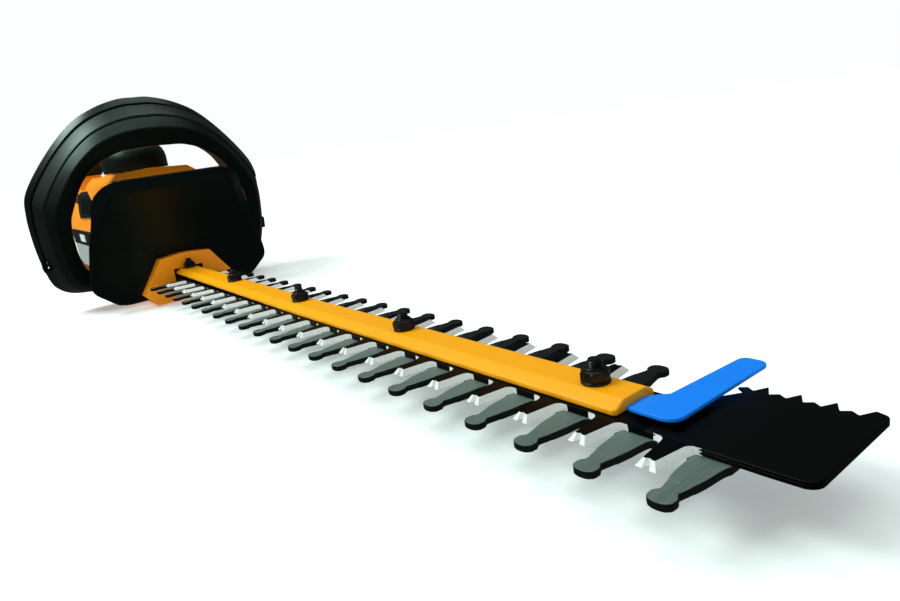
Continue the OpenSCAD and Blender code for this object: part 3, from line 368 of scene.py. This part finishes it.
# %% [markdown]
# ## Making shells
# Every refined piece is made of closed shells, each a table of points in blade millimetres and a
# list of faces. Three builders cover the blade and the handles: a flat outline made thick, as a
# laser cuts sheet, a tube of rings, as an extrusion or a bent band, and a profile turned about an
# axis, as on a lathe. Shells that belong to one piece are gathered into one table.

# %% Shell builders
def slab(outline, low, high):
    """A flat (x, y) outline made thick: the same points at z = low and z = high."""
    outline = np.asarray(outline, float)
    n = len(outline)
    points = np.vstack([np.column_stack([outline, np.full(n, z)]) for z in (low, high)])
    i = np.arange(n)
    j = (i + 1) % n
    sides = np.column_stack([i, j, j + n, i + n])
    return points, [list(range(n))[::-1], list(range(n, 2 * n))] + sides.tolist()


def tube(rings):
    """Rings of m points each, (n, m, 3): neighbours joined by quads, both ends closed by one face."""
    rings = np.asarray(rings, float)
    n, m = rings.shape[:2]
    row, col = np.meshgrid(np.arange(n - 1), np.arange(m), indexing="ij")
    nxt = (col + 1) % m
    quads = np.stack([row * m + col, row * m + nxt, (row + 1) * m + nxt, (row + 1) * m + col], -1)
    caps = [list(range(m))[::-1], list(range((n - 1) * m, n * m))]
    return rings.reshape(-1, 3), quads.reshape(-1, 4).tolist() + caps


def turned(profile, centre, sides=48, shape=None):
    """A profile of (radius, height) turned about the vertical through centre. shape(angle, radius)
    may change the radius round the turn, as on a hexagon."""
    profile = np.asarray(profile, float)
    angle = np.linspace(0, 2 * np.pi, sides, endpoint=False)
    radius = np.repeat(profile[:, :1], sides, 1)
    if shape is not None:
        radius = shape(angle[None, :], radius)
    rings = np.stack([centre[0] + radius * np.cos(angle), centre[1] + radius * np.sin(angle),
                      centre[2] + np.repeat(profile[:, 1:], sides, 1)], -1)
    return tube(rings)


def gathered(shells):
    """Several shells as one table: each one's faces are shifted past the points before it."""
    starts = np.cumsum([0] + [len(points) for points, _ in shells])
    points = np.vstack([points for points, _ in shells])
    return points, [[k + s for k in face] for (_, faces), s in zip(shells, starts) for face in faces]


# %% [markdown]
# ## From shells to pieces
# No edge of a made thing is perfectly sharp, and the thin highlight on a rounded edge is what tells the eye
# how big the piece is. A Bevel modifier rounds the edges over a chosen angle, and weighted normals keep the
# flats beside them flat. Every piece is then hung on the body it rides on, hides the imported pieces it
# stands in for, and gets its materials.

# %% Piece builders
def softened(obj, width, angle=28, segments=2):
    """Rounds the edges sharper than angle by width millimetres, and evens the normals beside them."""
    bevel = obj.modifiers.new("softened_edges", "BEVEL")
    bevel.width, bevel.segments = width * MM, segments
    bevel.limit_method, bevel.angle_limit = "ANGLE", math.radians(angle)
    bevel.use_clamp_overlap = True
    bevel.miter_outer = "MITER_ARC"
    obj.modifiers.new("even_normals", "WEIGHTED_NORMAL").keep_sharp = True


def piece(name, shell, body, nodes, finishes, use=None, soft=None, sharp=32):
    """Makes the object. finishes are its materials and use picks one for each face; soft is the
    width of the softened edges, and without it edges over sharp degrees stay crisp."""
    points, faces = shell
    mesh = bpy.data.meshes.new(name)
    mesh.from_pydata(world(points).tolist(), [], faces)
    for material in finishes:
        mesh.materials.append(material)
    if use is not None:
        mesh.polygons.foreach_set("material_index", np.asarray(use, np.int32))
    work = bmesh.new()
    work.from_mesh(mesh)
    bmesh.ops.recalc_face_normals(work, faces=work.faces)
    work.to_mesh(mesh)
    work.free()
    mesh.polygons.foreach_set("use_smooth", np.ones(len(mesh.polygons), bool))
    obj = bpy.data.objects.new(name, mesh)
    bpy.context.scene.collection.objects.link(obj)
    if soft:
        softened(obj, soft)
    else:
        mesh.set_sharp_from_angle(angle=math.radians(sharp))
    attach(obj, body)
    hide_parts(*nodes)
    print(name, len(faces), "faces")
    return obj

# %% [markdown]
# ## Outlines
# Most outlines here are symmetric or have round stretches. A half outline and its mirror image, a
# smooth curve through a few knots, and an arc between two angles are enough to draw them all.

# %% Outline helpers
def both_sides(half):
    """A half outline (x >= 0) followed by its mirror image, so that it runs from +x to -x."""
    half = np.asarray(half, float)
    return np.vstack([half, half[::-1] * [-1, 1]])


def curve(knots, steps):
    """A Catmull-Rom curve through the knots: each span is a cubic of its four nearest knots."""
    p = np.asarray(knots, float)
    p = np.vstack([p[:1], p, p[-1:]])
    t = np.linspace(0, 1, steps, endpoint=False)[None, :, None]
    a, b, c, d = (p[k:len(p) - 3 + k, None, :] for k in range(4))
    spans = ((-t + 2 * t**2 - t**3) * a + (2 - 5 * t**2 + 3 * t**3) * b
             + (t + 4 * t**2 - 3 * t**3) * c + (-t**2 + t**3) * d) / 2
    return np.vstack([spans.reshape(-1, p.shape[1]), p[-1:]])


def bend_round(centre, radius, start, stop, steps):
    """Points of an arc, by angle in degrees."""
    angle = np.radians(np.linspace(start, stop, steps))
    return np.column_stack([centre[0] + radius * np.cos(angle), centre[1] + radius * np.sin(angle)])


# %% [markdown]
# ## The comb
# The comb is stamped from 3 mm sheet, so its fingers have a straight stamped side that stays black
# from hardening, while the flat is ground along each finger. Hedge law asks for blunt ends: each
# finger narrows to a neck and ends in a round bulb beyond the cutting tooth, so nothing soft can
# reach the edge. The bulb is pressed a hair thinner than the flat, which leaves the curved step.

# %% Outlines of a finger
BODY_HALF = 13.4
COMB_T = 3.0
COMB_TIP = 6.6                       # front end of the comb's body
BODY_BACK = NOSE_X - 12              # where the blade's body ends, inside the nose
FINGER_SIDE = np.array([[9.2, 13.1], [7.6, 13.4], [6.7, 13.9], [6.1, 14.7], [5.8, 15.8], [5.4, 19], [5.2, 22],
                        [4.9, 24.5], [4.5, 27], [4.1, 28.9]])
NECK_SIDE = np.array([[4.25, 27.6], [3.6, 31], [2.95, 33.8], [2.9, 34.6], [3.3, 35.4], [4.0, 36.2],
                      [4.3, 37.1], [4.3, 39.1], [4.0, 39.9], [2.9, 41.0], [1.8, 41.4], [0.7, 41.6]])
STEP_EDGE = np.array([[2.9, 29.7], [1.5, 30.2], [0.5, 30.35]])
finger = both_sides(np.vstack([FINGER_SIDE, STEP_EDGE]))
finger_end = both_sides(NECK_SIDE)
x_fingers = -PITCH * np.arange(FINGERS)
SAW_FINGERS = 2


def row_of(shape, xs, side):
    """The same finger outline at every x, on one side (-1 or 1), as one run of points."""
    run = shape[None] * [1, side] + np.stack([xs, 0 * xs], -1)[:, None]
    return run.reshape(-1, 2)



# %% Comb
# three points of the first finger would reach past the comb's front end: one corner replaces them
near = row_of(finger, x_fingers, -1)[2:]
near[0] = (COMB_TIP, -BODY_HALF)
far = row_of(finger, x_fingers[SAW_FINGERS:], 1)[::-1]
ROOT_HALF, ROOT_FRONT, ROOT_BACK = 30, NOSE_X - 20, NOSE_X - 62
root_plate = np.array([[BODY_BACK, -BODY_HALF], [ROOT_FRONT, -ROOT_HALF], [ROOT_BACK, -ROOT_HALF],
                       [ROOT_BACK, ROOT_HALF], [ROOT_FRONT, ROOT_HALF], [BODY_BACK, BODY_HALF]])
tip_corner = np.array([[COMB_TIP, BODY_HALF]])
middle_line = np.array([[ROOT_BACK, 0.0], [COMB_TIP, 0.0]])
near_slab = slab(np.vstack([near, root_plate[:3], middle_line]), -COMB_T, 0)
far_slab = slab(np.vstack([middle_line, tip_corner, far[::-1], root_plate[:2:-1]]), -COMB_T, 0)
ends = [slab((finger_end * [1, side]) + [x, 0], -COMB_T + 0.1, -0.14)
        for side, xs in ((-1, x_fingers), (1, x_fingers[SAW_FINGERS:])) for x in xs]
comb = gathered([near_slab, far_slab] + ends)
ground = FINISHES["comb_steel"]
# the black of the unground stamped sides, used also as painted shade on the far row's tops
edge_black_and_painted_shade = finish("hardened_edge_and_painted_shade", "#070c0b", "#111816", (0.35, 0.5), 60, 1300, (1, 1, 0.2),
                  0.25, 0.00006, Metallic=0.3)
# painted shade: the far row's tops, which the light leaves dark, take the black of the stamped sides, so the
# comb is two slabs that meet along y = 0
heights = np.array([np.ptp(comb[0][face][:, 2]) for face in comb[1]])
side_of = np.array([comb[0][face][:, 1].mean() for face in comb[1]])
piece("comb", comb, "root", ["finger_comb"], [ground, edge_black_and_painted_shade],
      use=((heights > 0.5) | (side_of > 0.01)).astype(int), soft=0.4)

# %% [markdown]
# ## The cutter
# The moving blade slides on the comb. Its teeth are milled and then ground on three sides to a flat bevel,
# and that grinding cuts through the black oxide: the top stays black, while the bevels and the notched end
# shine, and that shine is painted in as a near-white matt colour. Long slots let the blade slide past its
# guide bolts, so the body is laid out as cells between the slots' edges and the slot cells are left out.

# %% Cutter
CUT_Z, CUT_TOP = 0.1, 2.6
STROKE = 22.0
SAW_JOINT = -24.0
SAW_LAP = 18.0
BOLT_STEP = 129.0
BOLTS = [-2 * PITCH - BOLT_STEP * k for k in range(5)]
bush_half = (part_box("guide_bushes")[1].y - ORIGIN[1]) / MM
slot_half = bush_half + 0.25
EYE_R = 9                            # radius of the cutter's end round its drive pin
pin_x = blade_x("cutter_blade", 0) + EYE_R


def slotted_strip(x_ends, half, slots, gap, low, high):
    """A flat strip between x_ends with rectangular slots: cells of a 3 by n grid, without the
    middle cells that fall in a slot, and a wall wherever a cell has no neighbour."""
    xs = np.array(sorted([*x_ends, *np.ravel(slots)]))
    ys = np.array([-half, -gap, gap, half])
    middle = (xs[:-1] + xs[1:]) / 2
    solid = np.ones((len(xs) - 1, 3), bool)
    solid[:, 1] = ~np.any([(middle > a) & (middle < b) for a, b in slots], axis=0)
    gx, gy = np.meshgrid(xs, ys, indexing="ij")
    count = gx.size
    points = np.vstack([np.column_stack([gx.ravel(), gy.ravel(), np.full(count, z)]) for z in (low, high)])
    at = np.arange(count).reshape(gx.shape)
    faces = []
    framed = np.pad(solid, 1)
    for i, j in np.argwhere(solid):
        a, b, c, d = at[i, j], at[i + 1, j], at[i + 1, j + 1], at[i, j + 1]
        faces += [[d, c, b, a], [a + count, b + count, c + count, d + count]]
        walls = (((i + 1, j), a, b), ((i + 1, j + 2), c, d), ((i, j + 1), d, a), ((i + 2, j + 1), b, c))
        faces += [[p, q, q + count, p + count] for spot, p, q in walls if not framed[spot]]
    return points, faces


slots = [(x - STROKE - slot_half - 0.6, x + slot_half + 0.6) for x in BOLTS]
strip = slotted_strip((BODY_BACK, SAW_JOINT), BODY_HALF - 0.05, slots, slot_half, CUT_Z, CUT_TOP)
tail = slotted_strip((pin_x - EYE_R, BODY_BACK - 0.2), 10, [], 5, CUT_Z, CUT_TOP)
lap = slab([[SAW_JOINT + SAW_LAP, -BODY_HALF], [SAW_JOINT + SAW_LAP, BODY_HALF],
            [SAW_JOINT - 1, BODY_HALF - 0.1], [SAW_JOINT - 1, -BODY_HALF + 0.1]], CUT_Z, 1.3)
pin = turned([[4.5, 0], [4.5, 1.2], [4.2, 1.4]], (pin_x, 0, CUT_TOP), 32)

# %% Cutter teeth
TOOTH_TOP = np.array([[8.5, 13.34], [5.7, 13.5], [4.5, 14.3], [3.9, 15.4], [2.1, 27.6], [1.1, 27.6],
                      [0.6, 27.3], [0.2, 27.1]])
TOOTH_LOW = np.array([[8.6, 13.36], [6.9, 13.5], [6.35, 14.3], [6.0, 15.6], [3.7, 29.8], [1.35, 29.8],
                      [0.8, 28.0], [0.2, 27.15]])
CUTTER_OFF = -11.5                   # from a finger to the tooth behind it, at rest


def tooth(x, side):
    """One tooth: the low outline, then the same points drawn in at the top, which slopes the sides."""
    rings = [np.column_stack([both_sides(half) * [1, side] + [x, 0], np.full(2 * len(half), z)])
             for half, z in ((TOOTH_LOW, CUT_Z), (TOOTH_TOP, CUT_TOP))]
    return tube(rings)


teeth_x = CUTTER_OFF - PITCH * np.arange(FINGERS - 1)
teeth = [tooth(x, side) for side, xs in ((-1, teeth_x), (1, teeth_x[SAW_FINGERS:])) for x in xs]
cutter = gathered([strip, tail, lap, pin] + teeth)
n_body = sum(len(faces) for _, faces in (strip, tail, lap, pin))
# in each tooth the last face is its top, which keeps the black oxide
per_tooth = len(teeth[0][1])
# every other face is ground and gets the near-white finish, a painted highlight of its shine
bright = np.ones(len(cutter[1]), int)
bright[:n_body] = 0
bright[n_body + per_tooth - 1::per_tooth] = 0
oxide = finish("satin_black_oxide", "#000000", "#010202", (0.36, 0.48), 50, 1400, (0.1, 1, 1),
               0.15, 0.00005, Specular_IOR_Level=0.08)
piece("cutter", cutter, "cutter", ["cutter_blade"], [oxide, FINISHES["cutter_steel"]],
      use=bright, sharp=20)

# %% [markdown]
# ## The saw tip
# A short saw plate is riveted to the end of the cutter for twigs too thick for the teeth. It is
# laser cut from the same sheet, so its corners are round and its peaks crisp.

# %% Saw tip
SAW_REACH = blade_x("saw_tip", 1)
SAW_HALF = 38.0
SAW_STEP = 11.25
peak = SAW_REACH - 4.9
# four points a tooth: its peak, a gullet, a lower step between two gullets, and the next gullet
quarter = np.arange(16)
depth = np.array([0, 5.4, 3.4, 5.4])[quarter % 4]
peaks = np.column_stack([peak - quarter / 4 * SAW_STEP, SAW_HALF - depth])
saw_outline = np.vstack([
    [[SAW_JOINT + 0.1, -BODY_HALF], [SAW_REACH - 14, -BODY_HALF]],
    bend_round((SAW_REACH - 4.6, -BODY_HALF + 4.9), 4.6, -80, 0, 9),
    bend_round((SAW_REACH - 3.2, SAW_HALF - 4), 3.2, 0, 60, 6), peaks,
    [[peak - 3.4 * SAW_STEP, SAW_HALF - 8], [SAW_JOINT + 0.1, BODY_HALF]]])
# in front of the lap the plate is as thick as the cutter, so a second slab fills it from below
lap_end = SAW_JOINT + SAW_LAP
under = saw_outline[saw_outline[:, 0] > lap_end + 2]
under = np.vstack([[[lap_end + 0.1, -BODY_HALF]], under, [[lap_end + 0.1, 20]]])
saw = gathered([slab(saw_outline, 1.4, CUT_TOP), slab(under, CUT_Z, 1.6)])
piece("saw_plate", saw, "cutter", ["saw_tip"], [FINISHES["saw_steel"]], soft=0.35)

# %% [markdown]
# ## The stiffening bar
# Two thin blades would flutter, so a bar is clamped along their middle. It is a drawn aluminium
# section with bevelled shoulders, so one cross section swept along its length makes it. It lies flat
# over most of its length and rises a few millimetres to the gear case, as a press bends it.

# %% Bar
BAR_Z = blade_z("blade_bar", 0)
BAR_T = 5.0
RAMP_X = BOLTS[0] - 246
RISE = 3.2
BAR_TIP = blade_x("blade_bar", 1)
BAR_END = blade_x("blade_bar", 0)
section = np.array([[-11.7, 0], [-11.7, 2.1], [-6.6, BAR_T], [6.6, BAR_T], [11.7, 2.1], [11.7, 0]])


def lift(x):
    """How far the bar has risen at x: nothing as far as the ramp, then in proportion."""
    return np.maximum(0, RISE * (RAMP_X - x) / (RAMP_X - BOLTS[-1]))


# (x, share of the full width): the front end is drawn in a little, where a saw cut was broken
stations = np.array([[BAR_TIP, 0.9], [BAR_TIP - 1.3, 1], [RAMP_X, 1], [BAR_END, 1]])
bar = tube([np.column_stack([np.full(6, x), section[:, 0] * k, BAR_Z + lift(x) + section[:, 1]])
            for x, k in stations])
piece("stiffening_bar", bar, "root", ["blade_bar"], [FINISHES["bar_paint"]], soft=0.55)

# %% [markdown]
# ## Bolts and nuts
# Flange lock nuts clamp the bar: a washer face, a chamfered hexagon and a nylon collar, with the end
# of the bolt's thread standing out. Both are turned parts, so each is a profile spun about its axis.
# A hexagon is the same turn with the radius held inside six flats, and a thread seen from this far
# is rings, not a helix.

# %% Bolts and nuts
NUT_T = 6.5
NUT_FLATS = 10.2                     # across the flats
NUT_R = 5.7                          # radius of the washer face
M6 = 3.0                             # radius of the shank


def hexagon(flat_to_flat):
    """Keeps a turned radius inside a hexagon: at an angle t from the middle of a flat the flat lies
    at half its width / cos t."""
    def shape(angle, radius):
        turn = (angle % (np.pi / 3)) - np.pi / 6
        return np.minimum(radius, flat_to_flat / 2 / np.cos(turn))
    return shape


def lock_nut(x):
    """A washer face, and above it a hexagon whose corners the profile rounds, with its collar."""
    centre = (x, 0, BAR_Z + BAR_T + lift(x - NUT_R))
    washer = turned([[M6, 0], [5.5, 0], [NUT_R, 0.3], [NUT_R, 0.9], [5.4, 1.3], [M6, 1.4]], centre, 48)
    body = [[M6, 1.2], [5.3, 1.3], [5.9, 1.7], [5.9, 4.5], [5.3, 5.0], [4.4, 5.2], [4.1, 5.4], [4.1, 6.0],
            [3.8, 6.4], [M6, NUT_T]]
    return gathered([washer, turned(body, centre, 72, hexagon(NUT_FLATS))])


def bolt(x):
    """Round head under the comb, plain shank, and a thread whose radius swings once a millimetre."""
    top = BAR_Z + BAR_T + lift(x) + NUT_T + 3
    z = np.arange(top - 7.5, top - 0.6, 0.25)
    thread = np.column_stack([M6 - 0.3 + 0.25 * np.cos(2 * np.pi * z), z])
    head = [[0.01, -6], [4.2, -6], [5.2, -5.5], [5.5, -4.6], [5.5, -COMB_T], [M6, -COMB_T]]
    return turned(np.vstack([head, thread, [[M6 - 0.7, top - 0.1], [0.01, top]]]), (x, 0, 0), 36)


piece("lock_nuts", gathered([lock_nut(x) for x in BOLTS]), "root", ["blade_nuts"],
      [FINISHES["black_steel"]], sharp=24)
piece("guide_bolts", gathered([bolt(x) for x in BOLTS]), "root", ["blade_bolts"],
      [FINISHES["black_steel"]], sharp=50)

# %% [markdown]
# ## The branch stop
# A small plastic plate over the saw's root keeps twigs from riding up the bar. It is moulded flat
# with a short ramp that clips under the bar's end.

# %% Branch stop
STOP_Z = BAR_Z + 1.8
STOP_T = 1.6
STOP_REACH = 52.0
CREASE = BAR_TIP + 8
# an L with rounded ends: the foot beside the bar, and the arm out over the saw's root
plate = np.vstack([[[CREASE, -8.6]], bend_round((-20.6, -2.8), 5.8, -90, 0, 11),
                   bend_round((-18.6, STOP_REACH - 4), 3.9, 0, 90, 8),
                   bend_round((-22.4, STOP_REACH - 3.4), 3.4, 90, 172, 7), [[CREASE, 9]]])
# (x, near edge, far edge, height): the ramp widens from under the bar to the plate
ramp_steps = np.array([[-42, -5.6, 6.2, 0.05], [BAR_TIP + 0.3, -5.6, 6.4, 0.05], [CREASE, -8.6, 9.0, 1.8],
                       [CREASE + 1.5, -8.5, 8.9, 1.79]])
ramp = tube([[[x, a, BAR_Z + z], [x, b, BAR_Z + z], [x, b, BAR_Z + z + STOP_T - 0.02],
              [x, a, BAR_Z + z + STOP_T - 0.02]] for x, a, b, z in ramp_steps])
piece("branch_plate", gathered([slab(plate, STOP_Z, STOP_Z + STOP_T), ramp]), "root", ["branch_stop"],
      [FINISHES["blue_plastic"]], soft=0.4)

# %% [markdown]
# ## The hand guard
# A thin moulded shield keeps leaves and the other hand away from the blade: upright at its foot,
# leaning forward towards the top, with a rim rolled back along the top edge. A sheet like this is
# easiest to make as a grid. Its front is one surface, x = guard + lean (z - bend)^2, as wide at each
# height as its outline, with a sloped border, and the back is the same grid moved by the wall.

# %% Hand guard
GUARD_X = NOSE_X - 13
GUARD_TOP, GUARD_BEND, GUARD_LEAN, GUARD_T = 103.0, 20.0, 44.0, 3.0
CORNER, CORNER_R = (47.5, 79.0), 24  # the round top corners
GUARD_EDGE = np.vstack([[[59.5, -15], [67.5, -13], [77.5, -5], [85.5, 3], [86.5, 14], [82, 37], [79, 51],
                         [73.5, 70]], bend_round(CORNER, CORNER_R, 12, 88, 11)])
edge = curve(GUARD_EDGE, 6)
edge = edge[np.argsort(edge[:, 1])]


def leaning(z):
    """Front of the guard at height z."""
    return GUARD_X + GUARD_LEAN * (np.maximum(0, z - GUARD_BEND) / (GUARD_TOP - GUARD_BEND)) ** 2


RIM = 11.0                           # the rim band's width along the top
BORDER = 4.2                         # and down the sides


def rim_distance(y, z, wide):
    """How far a point lies outside the flat front: measured from the corner's centre beyond it,
    from the top crease between the corners, and from the side border below them."""
    y = np.abs(y)
    inner = CORNER_R - RIM
    corner = np.hypot(np.maximum(y - CORNER[0], 0), np.maximum(z - CORNER[1], 0)) - inner
    border = BORDER + (RIM - BORDER) * np.clip((z - 45) / 34, 0, 1)
    return np.where(z > CORNER[1], corner, y - (wide - border)).clip(0)


# %% Hand guard surface
z_rows = np.concatenate([np.linspace(-14.8, 4, 12), np.linspace(6, 78, 26), np.linspace(80, 102.9, 26)])
wide = np.interp(z_rows, edge[:, 1], edge[:, 0])
share = np.sin(np.linspace(-np.pi / 2, np.pi / 2, 73))
y_grid, z_grid = share[:, None] * wide, np.repeat(z_rows[None], 73, 0)
outside = rim_distance(y_grid, z_grid, wide)
steep = 0.45 + 0.75 * np.clip((z_grid - 60) / 25, 0, 1)
x_grid = leaning(z_grid) - steep * outside
front_side = np.stack([x_grid, y_grid, z_grid], -1)
back_side = front_side - [GUARD_T, 0, 0]
# the top rolls back in steps: (back, up) of the front sheet, then (back, up) of the rear sheet
top_row = len(z_rows) - 1
lip = [(2.0, 0.9, 5.0, -2.0), (4.5, 1.2, 8.0, -2.4), (9.5, 0.9, 9.6, -2.4)]
for x_f, z_f, x_b, z_b in lip:
    top_edge = front_side[:, top_row:top_row + 1]
    front_side = np.concatenate([front_side, top_edge + [-x_f, 0, z_f]], 1)
    back_side = np.concatenate([back_side, top_edge + [-x_b, 0, z_b]], 1)
guard = tube(np.concatenate([front_side, back_side[::-1]]).transpose(1, 0, 2))
piece("guard_shield", guard, "root", ["hand_guard"], [FINISHES["black_plastic"]], sharp=50)

# %% [markdown]
# ## The loop handle
# The loop goes right round the housing so the tool can be held for a level or an upright cut. It is
# two shells screwed together, with an elastomer band moulded over the front one where the hand
# goes. Its inner and outer outlines are two smooth curves with the same number of points, so a
# section can be given as shares of the way from one to the other and keeps its place all round.

# %% Loop outlines
LOOP_X, LOOP_Z, LOOP_LEAN = NOSE_X - 85, 35.0, math.radians(12)
LOOP_TILT = np.array([math.cos(LOOP_LEAN), math.sin(LOOP_LEAN)])
OUTER = [[44, -4], [87.5, -4], [107.5, 6], [114.5, 26], [117.5, 55], [117, 86], [111.5, 108], [87.5, 140.5],
         [61.5, 166], [38, 179], [15, 185.5], [0, 186]]
INNER = [[44, 22], [69.5, 23], [80.5, 31], [85.5, 46], [86.5, 64], [85.5, 80], [81.5, 92], [67.5, 118],
         [49.5, 133.5], [31, 141], [14, 142.5], [0, 143]]
STEPS = 8                            # points of the smooth curve to each knot
BAND = 43                            # from the outer outline to the inner one, at the top


def whole_loop(half):
    """The half outline as a smooth curve, then its mirror image back down the other side."""
    run = curve(half, STEPS)
    return np.vstack([run, run[-2::-1] * [-1, 1]])


outer_run, inner_run = whole_loop(OUTER), whole_loop(INNER)
LAST = len(outer_run) - 1


def skin(depth):
    """The loop's outer surface: the share of the way inwards at a depth from the back."""
    return 0.0113 * depth if depth < 34 else 0.384 + (depth - 34) * 0.0216


def rounded(corners, radius):
    """Each corner of a section cut back by radius along both edges and filled with a short curve:
    a parabola (1 - t)^2 a + 2 t (1 - t) p + t^2 b, in millimetres across the band."""
    p = np.asarray(corners, float) * [1, BAND]
    before, after = np.roll(p, 1, 0) - p, np.roll(p, -1, 0) - p
    far_b, far_a = (np.linalg.norm(v, axis=1, keepdims=True) for v in (before, after))
    a = p + before / far_b * np.minimum(radius, 0.4 * far_b)
    b = p + after / far_a * np.minimum(radius, 0.4 * far_a)
    t = np.array([0, 0.33, 0.67, 1])[:, None, None]
    arcs = (1 - t) ** 2 * a + 2 * t * (1 - t) * p + t**2 * b
    return arcs.transpose(1, 0, 2).reshape(-1, 2) / [1, BAND]


def leaned(a, y, z):
    """Turns a places forward and z up about the switch bar's pivot by the loop's lean."""
    c, s = LOOP_TILT
    return np.stack([LOOP_X + a * c + z * s, y, LOOP_Z - a * s + z * c], -1)


def swept(corners, radius, start=0, stop=LAST):
    """A section carried along the loop: a share f lies at outer + f (inner - outer), then the
    whole loop leans forward about the switch bar's pivot."""
    section = rounded(corners, radius)
    run = np.arange(start, stop + 1)
    o, i = outer_run[run][:, None], inner_run[run][:, None]
    yz = o + section[None, :, 1:] * (i - o)
    a = np.repeat(section[None, :, 0], len(run), 0)
    return tube(leaned(a, yz[..., 0], yz[..., 1] - LOOP_Z))


# %% [markdown]
# ## Sections of the loop
# Each section is a closed outline of (distance forward, share inwards). Sweeping four of them gives
# the hollow front shell, the back shell, the soft grip on the upper arc and the switch bar that the
# hand squeezes. The back shell widens to a foot over its lowest stretch, where it is screwed down.

# %% Loop sections
BAIL_EDGE, SHELL_EDGE = 9, 15
front_shell = [[SHELL_EDGE, skin(15)], [34, skin(34)], [43, skin(43)], [44, skin(44) + 0.03], [44, 0.96],
               [42.5, 1], [SHELL_EDGE, 1], [SHELL_EDGE, 0.91], [40.5, 0.91], [40.5, 0.66], [33, 0.47],
               [SHELL_EDGE, skin(15) + 0.09]]
back_shell = [[4.8, 0.162], [14.9, 0.168], [14.9, 0.3], [8, 0.3], [8, 0.91], [14.9, 0.91], [14.9, 1], [7, 1],
              [5, 0.95]]
soft_strip = [[16.5, skin(16.5) - 0.045], [32.4, skin(32.4) - 0.045], [33.4, skin(33.4) - 0.004],
              [15.6, skin(15.6) - 0.004]]
squeeze_bar = [[0, 0.04], [1.5, 0], [BAIL_EDGE, 0.12], [BAIL_EDGE, 0.158], [0, 0.156]]
GRIP_FROM = round(17 / 3 * STEPS)
BAIL_FROM = round(10 / 3 * STEPS)
FOOT_TO = 3 * STEPS
foot = [[0, 0.04], [1.5, 0], [14.9, skin(14.9)], [14.9, 0.3], [0, 0.3]]
black = FINISHES["black_plastic"]
piece("loop_front_shell", swept(front_shell, 0.9), "root", ["loop_front"], [black], sharp=40)
FOOT_FROM = 3
back = gathered([swept(back_shell, 0.5), swept(foot, 0.6, FOOT_FROM, FOOT_TO),
                 swept(foot, 0.6, LAST - FOOT_TO, LAST - FOOT_FROM)])
piece("loop_back_shell", back, "root", ["loop_back"], [black], sharp=40)
piece("loop_soft_strip", swept(soft_strip, 0.5, GRIP_FROM, LAST - GRIP_FROM), "root", ["loop_grip"],
      [FINISHES["soft_black"]], sharp=40)

# %% Switch bar
PIVOT_Y = 111.9
LUG_T = 4


def bail_lug(side):
    """The ear at the lower end of the switch bar, drilled in the real piece for its pivot pin."""
    y0 = side * PIVOT_Y + (-0.2 if side > 0 else -3.8)
    box = slab([[0, -6], [13, -6], [13, 6], [0, 6]], y0, y0 + LUG_T)
    a, z, y = box[0].T
    return leaned(a, y, z), box[1]


bail = gathered([swept(squeeze_bar, 0.6, BAIL_FROM, LAST - BAIL_FROM), bail_lug(-1), bail_lug(1)])
piece("loop_switch_bar", bail, "switch_bar", ["front_switch_bar"], [FINISHES["satin_black"]],
      sharp=40)

# %% [markdown]
# ## Housing, covers and battery
# These are injection mouldings in two halves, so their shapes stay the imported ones, with every
# edge rounded as a mould would leave it. The parting line down the middle remains as a fine gap. A
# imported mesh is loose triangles, so a copy is merged and its flat faces joined before the bevel,
# which would otherwise find an edge at every triangle.

# %% Softened copies
def eased_copy(node, body, slot, width):
    """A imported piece's mesh merged, its flat triangles joined, and its edges softened by width."""
    mesh = frame["nodes"][node].data.copy()
    work = bmesh.new()
    work.from_mesh(mesh)
    bmesh.ops.remove_doubles(work, verts=work.verts, dist=0.00002)
    bmesh.ops.dissolve_limit(work, angle_limit=math.radians(1.5), verts=work.verts, edges=work.edges)
    bmesh.ops.recalc_face_normals(work, faces=work.faces)
    for face in work.faces:
        face.smooth = True
    work.to_mesh(mesh)
    work.free()
    obj = bpy.data.objects.new(node + "_shell", mesh)
    mesh.materials.clear()
    mesh.materials.append(FINISHES[slot])
    bpy.context.scene.collection.objects.link(obj)
    softened(obj, width)
    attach(obj, body)
    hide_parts(node)
    print(obj.name, len(mesh.polygons), "faces")


# %% Mouldings
for node, slot, width in (("housing_left", "orange_plastic", 0.8), ("housing_right", "orange_plastic", 0.8),
                          ("grip_cover_left", "soft_black", 0.8), ("grip_cover_right", "soft_black", 0.8),
                          ("vent_left", "black_plastic", 0.4), ("vent_right", "black_plastic", 0.4),
                          ("battery_top", "battery_black", 0.8), ("battery_bottom", "battery_grey", 0.8)):
    body = "battery" if node.startswith("battery") else "root"
    eased_copy(node, body, slot, width)
eased_copy("trigger", "trigger", "red_plastic", 0.6)
eased_copy("battery_latch", "latch", "red_plastic", 0.5)
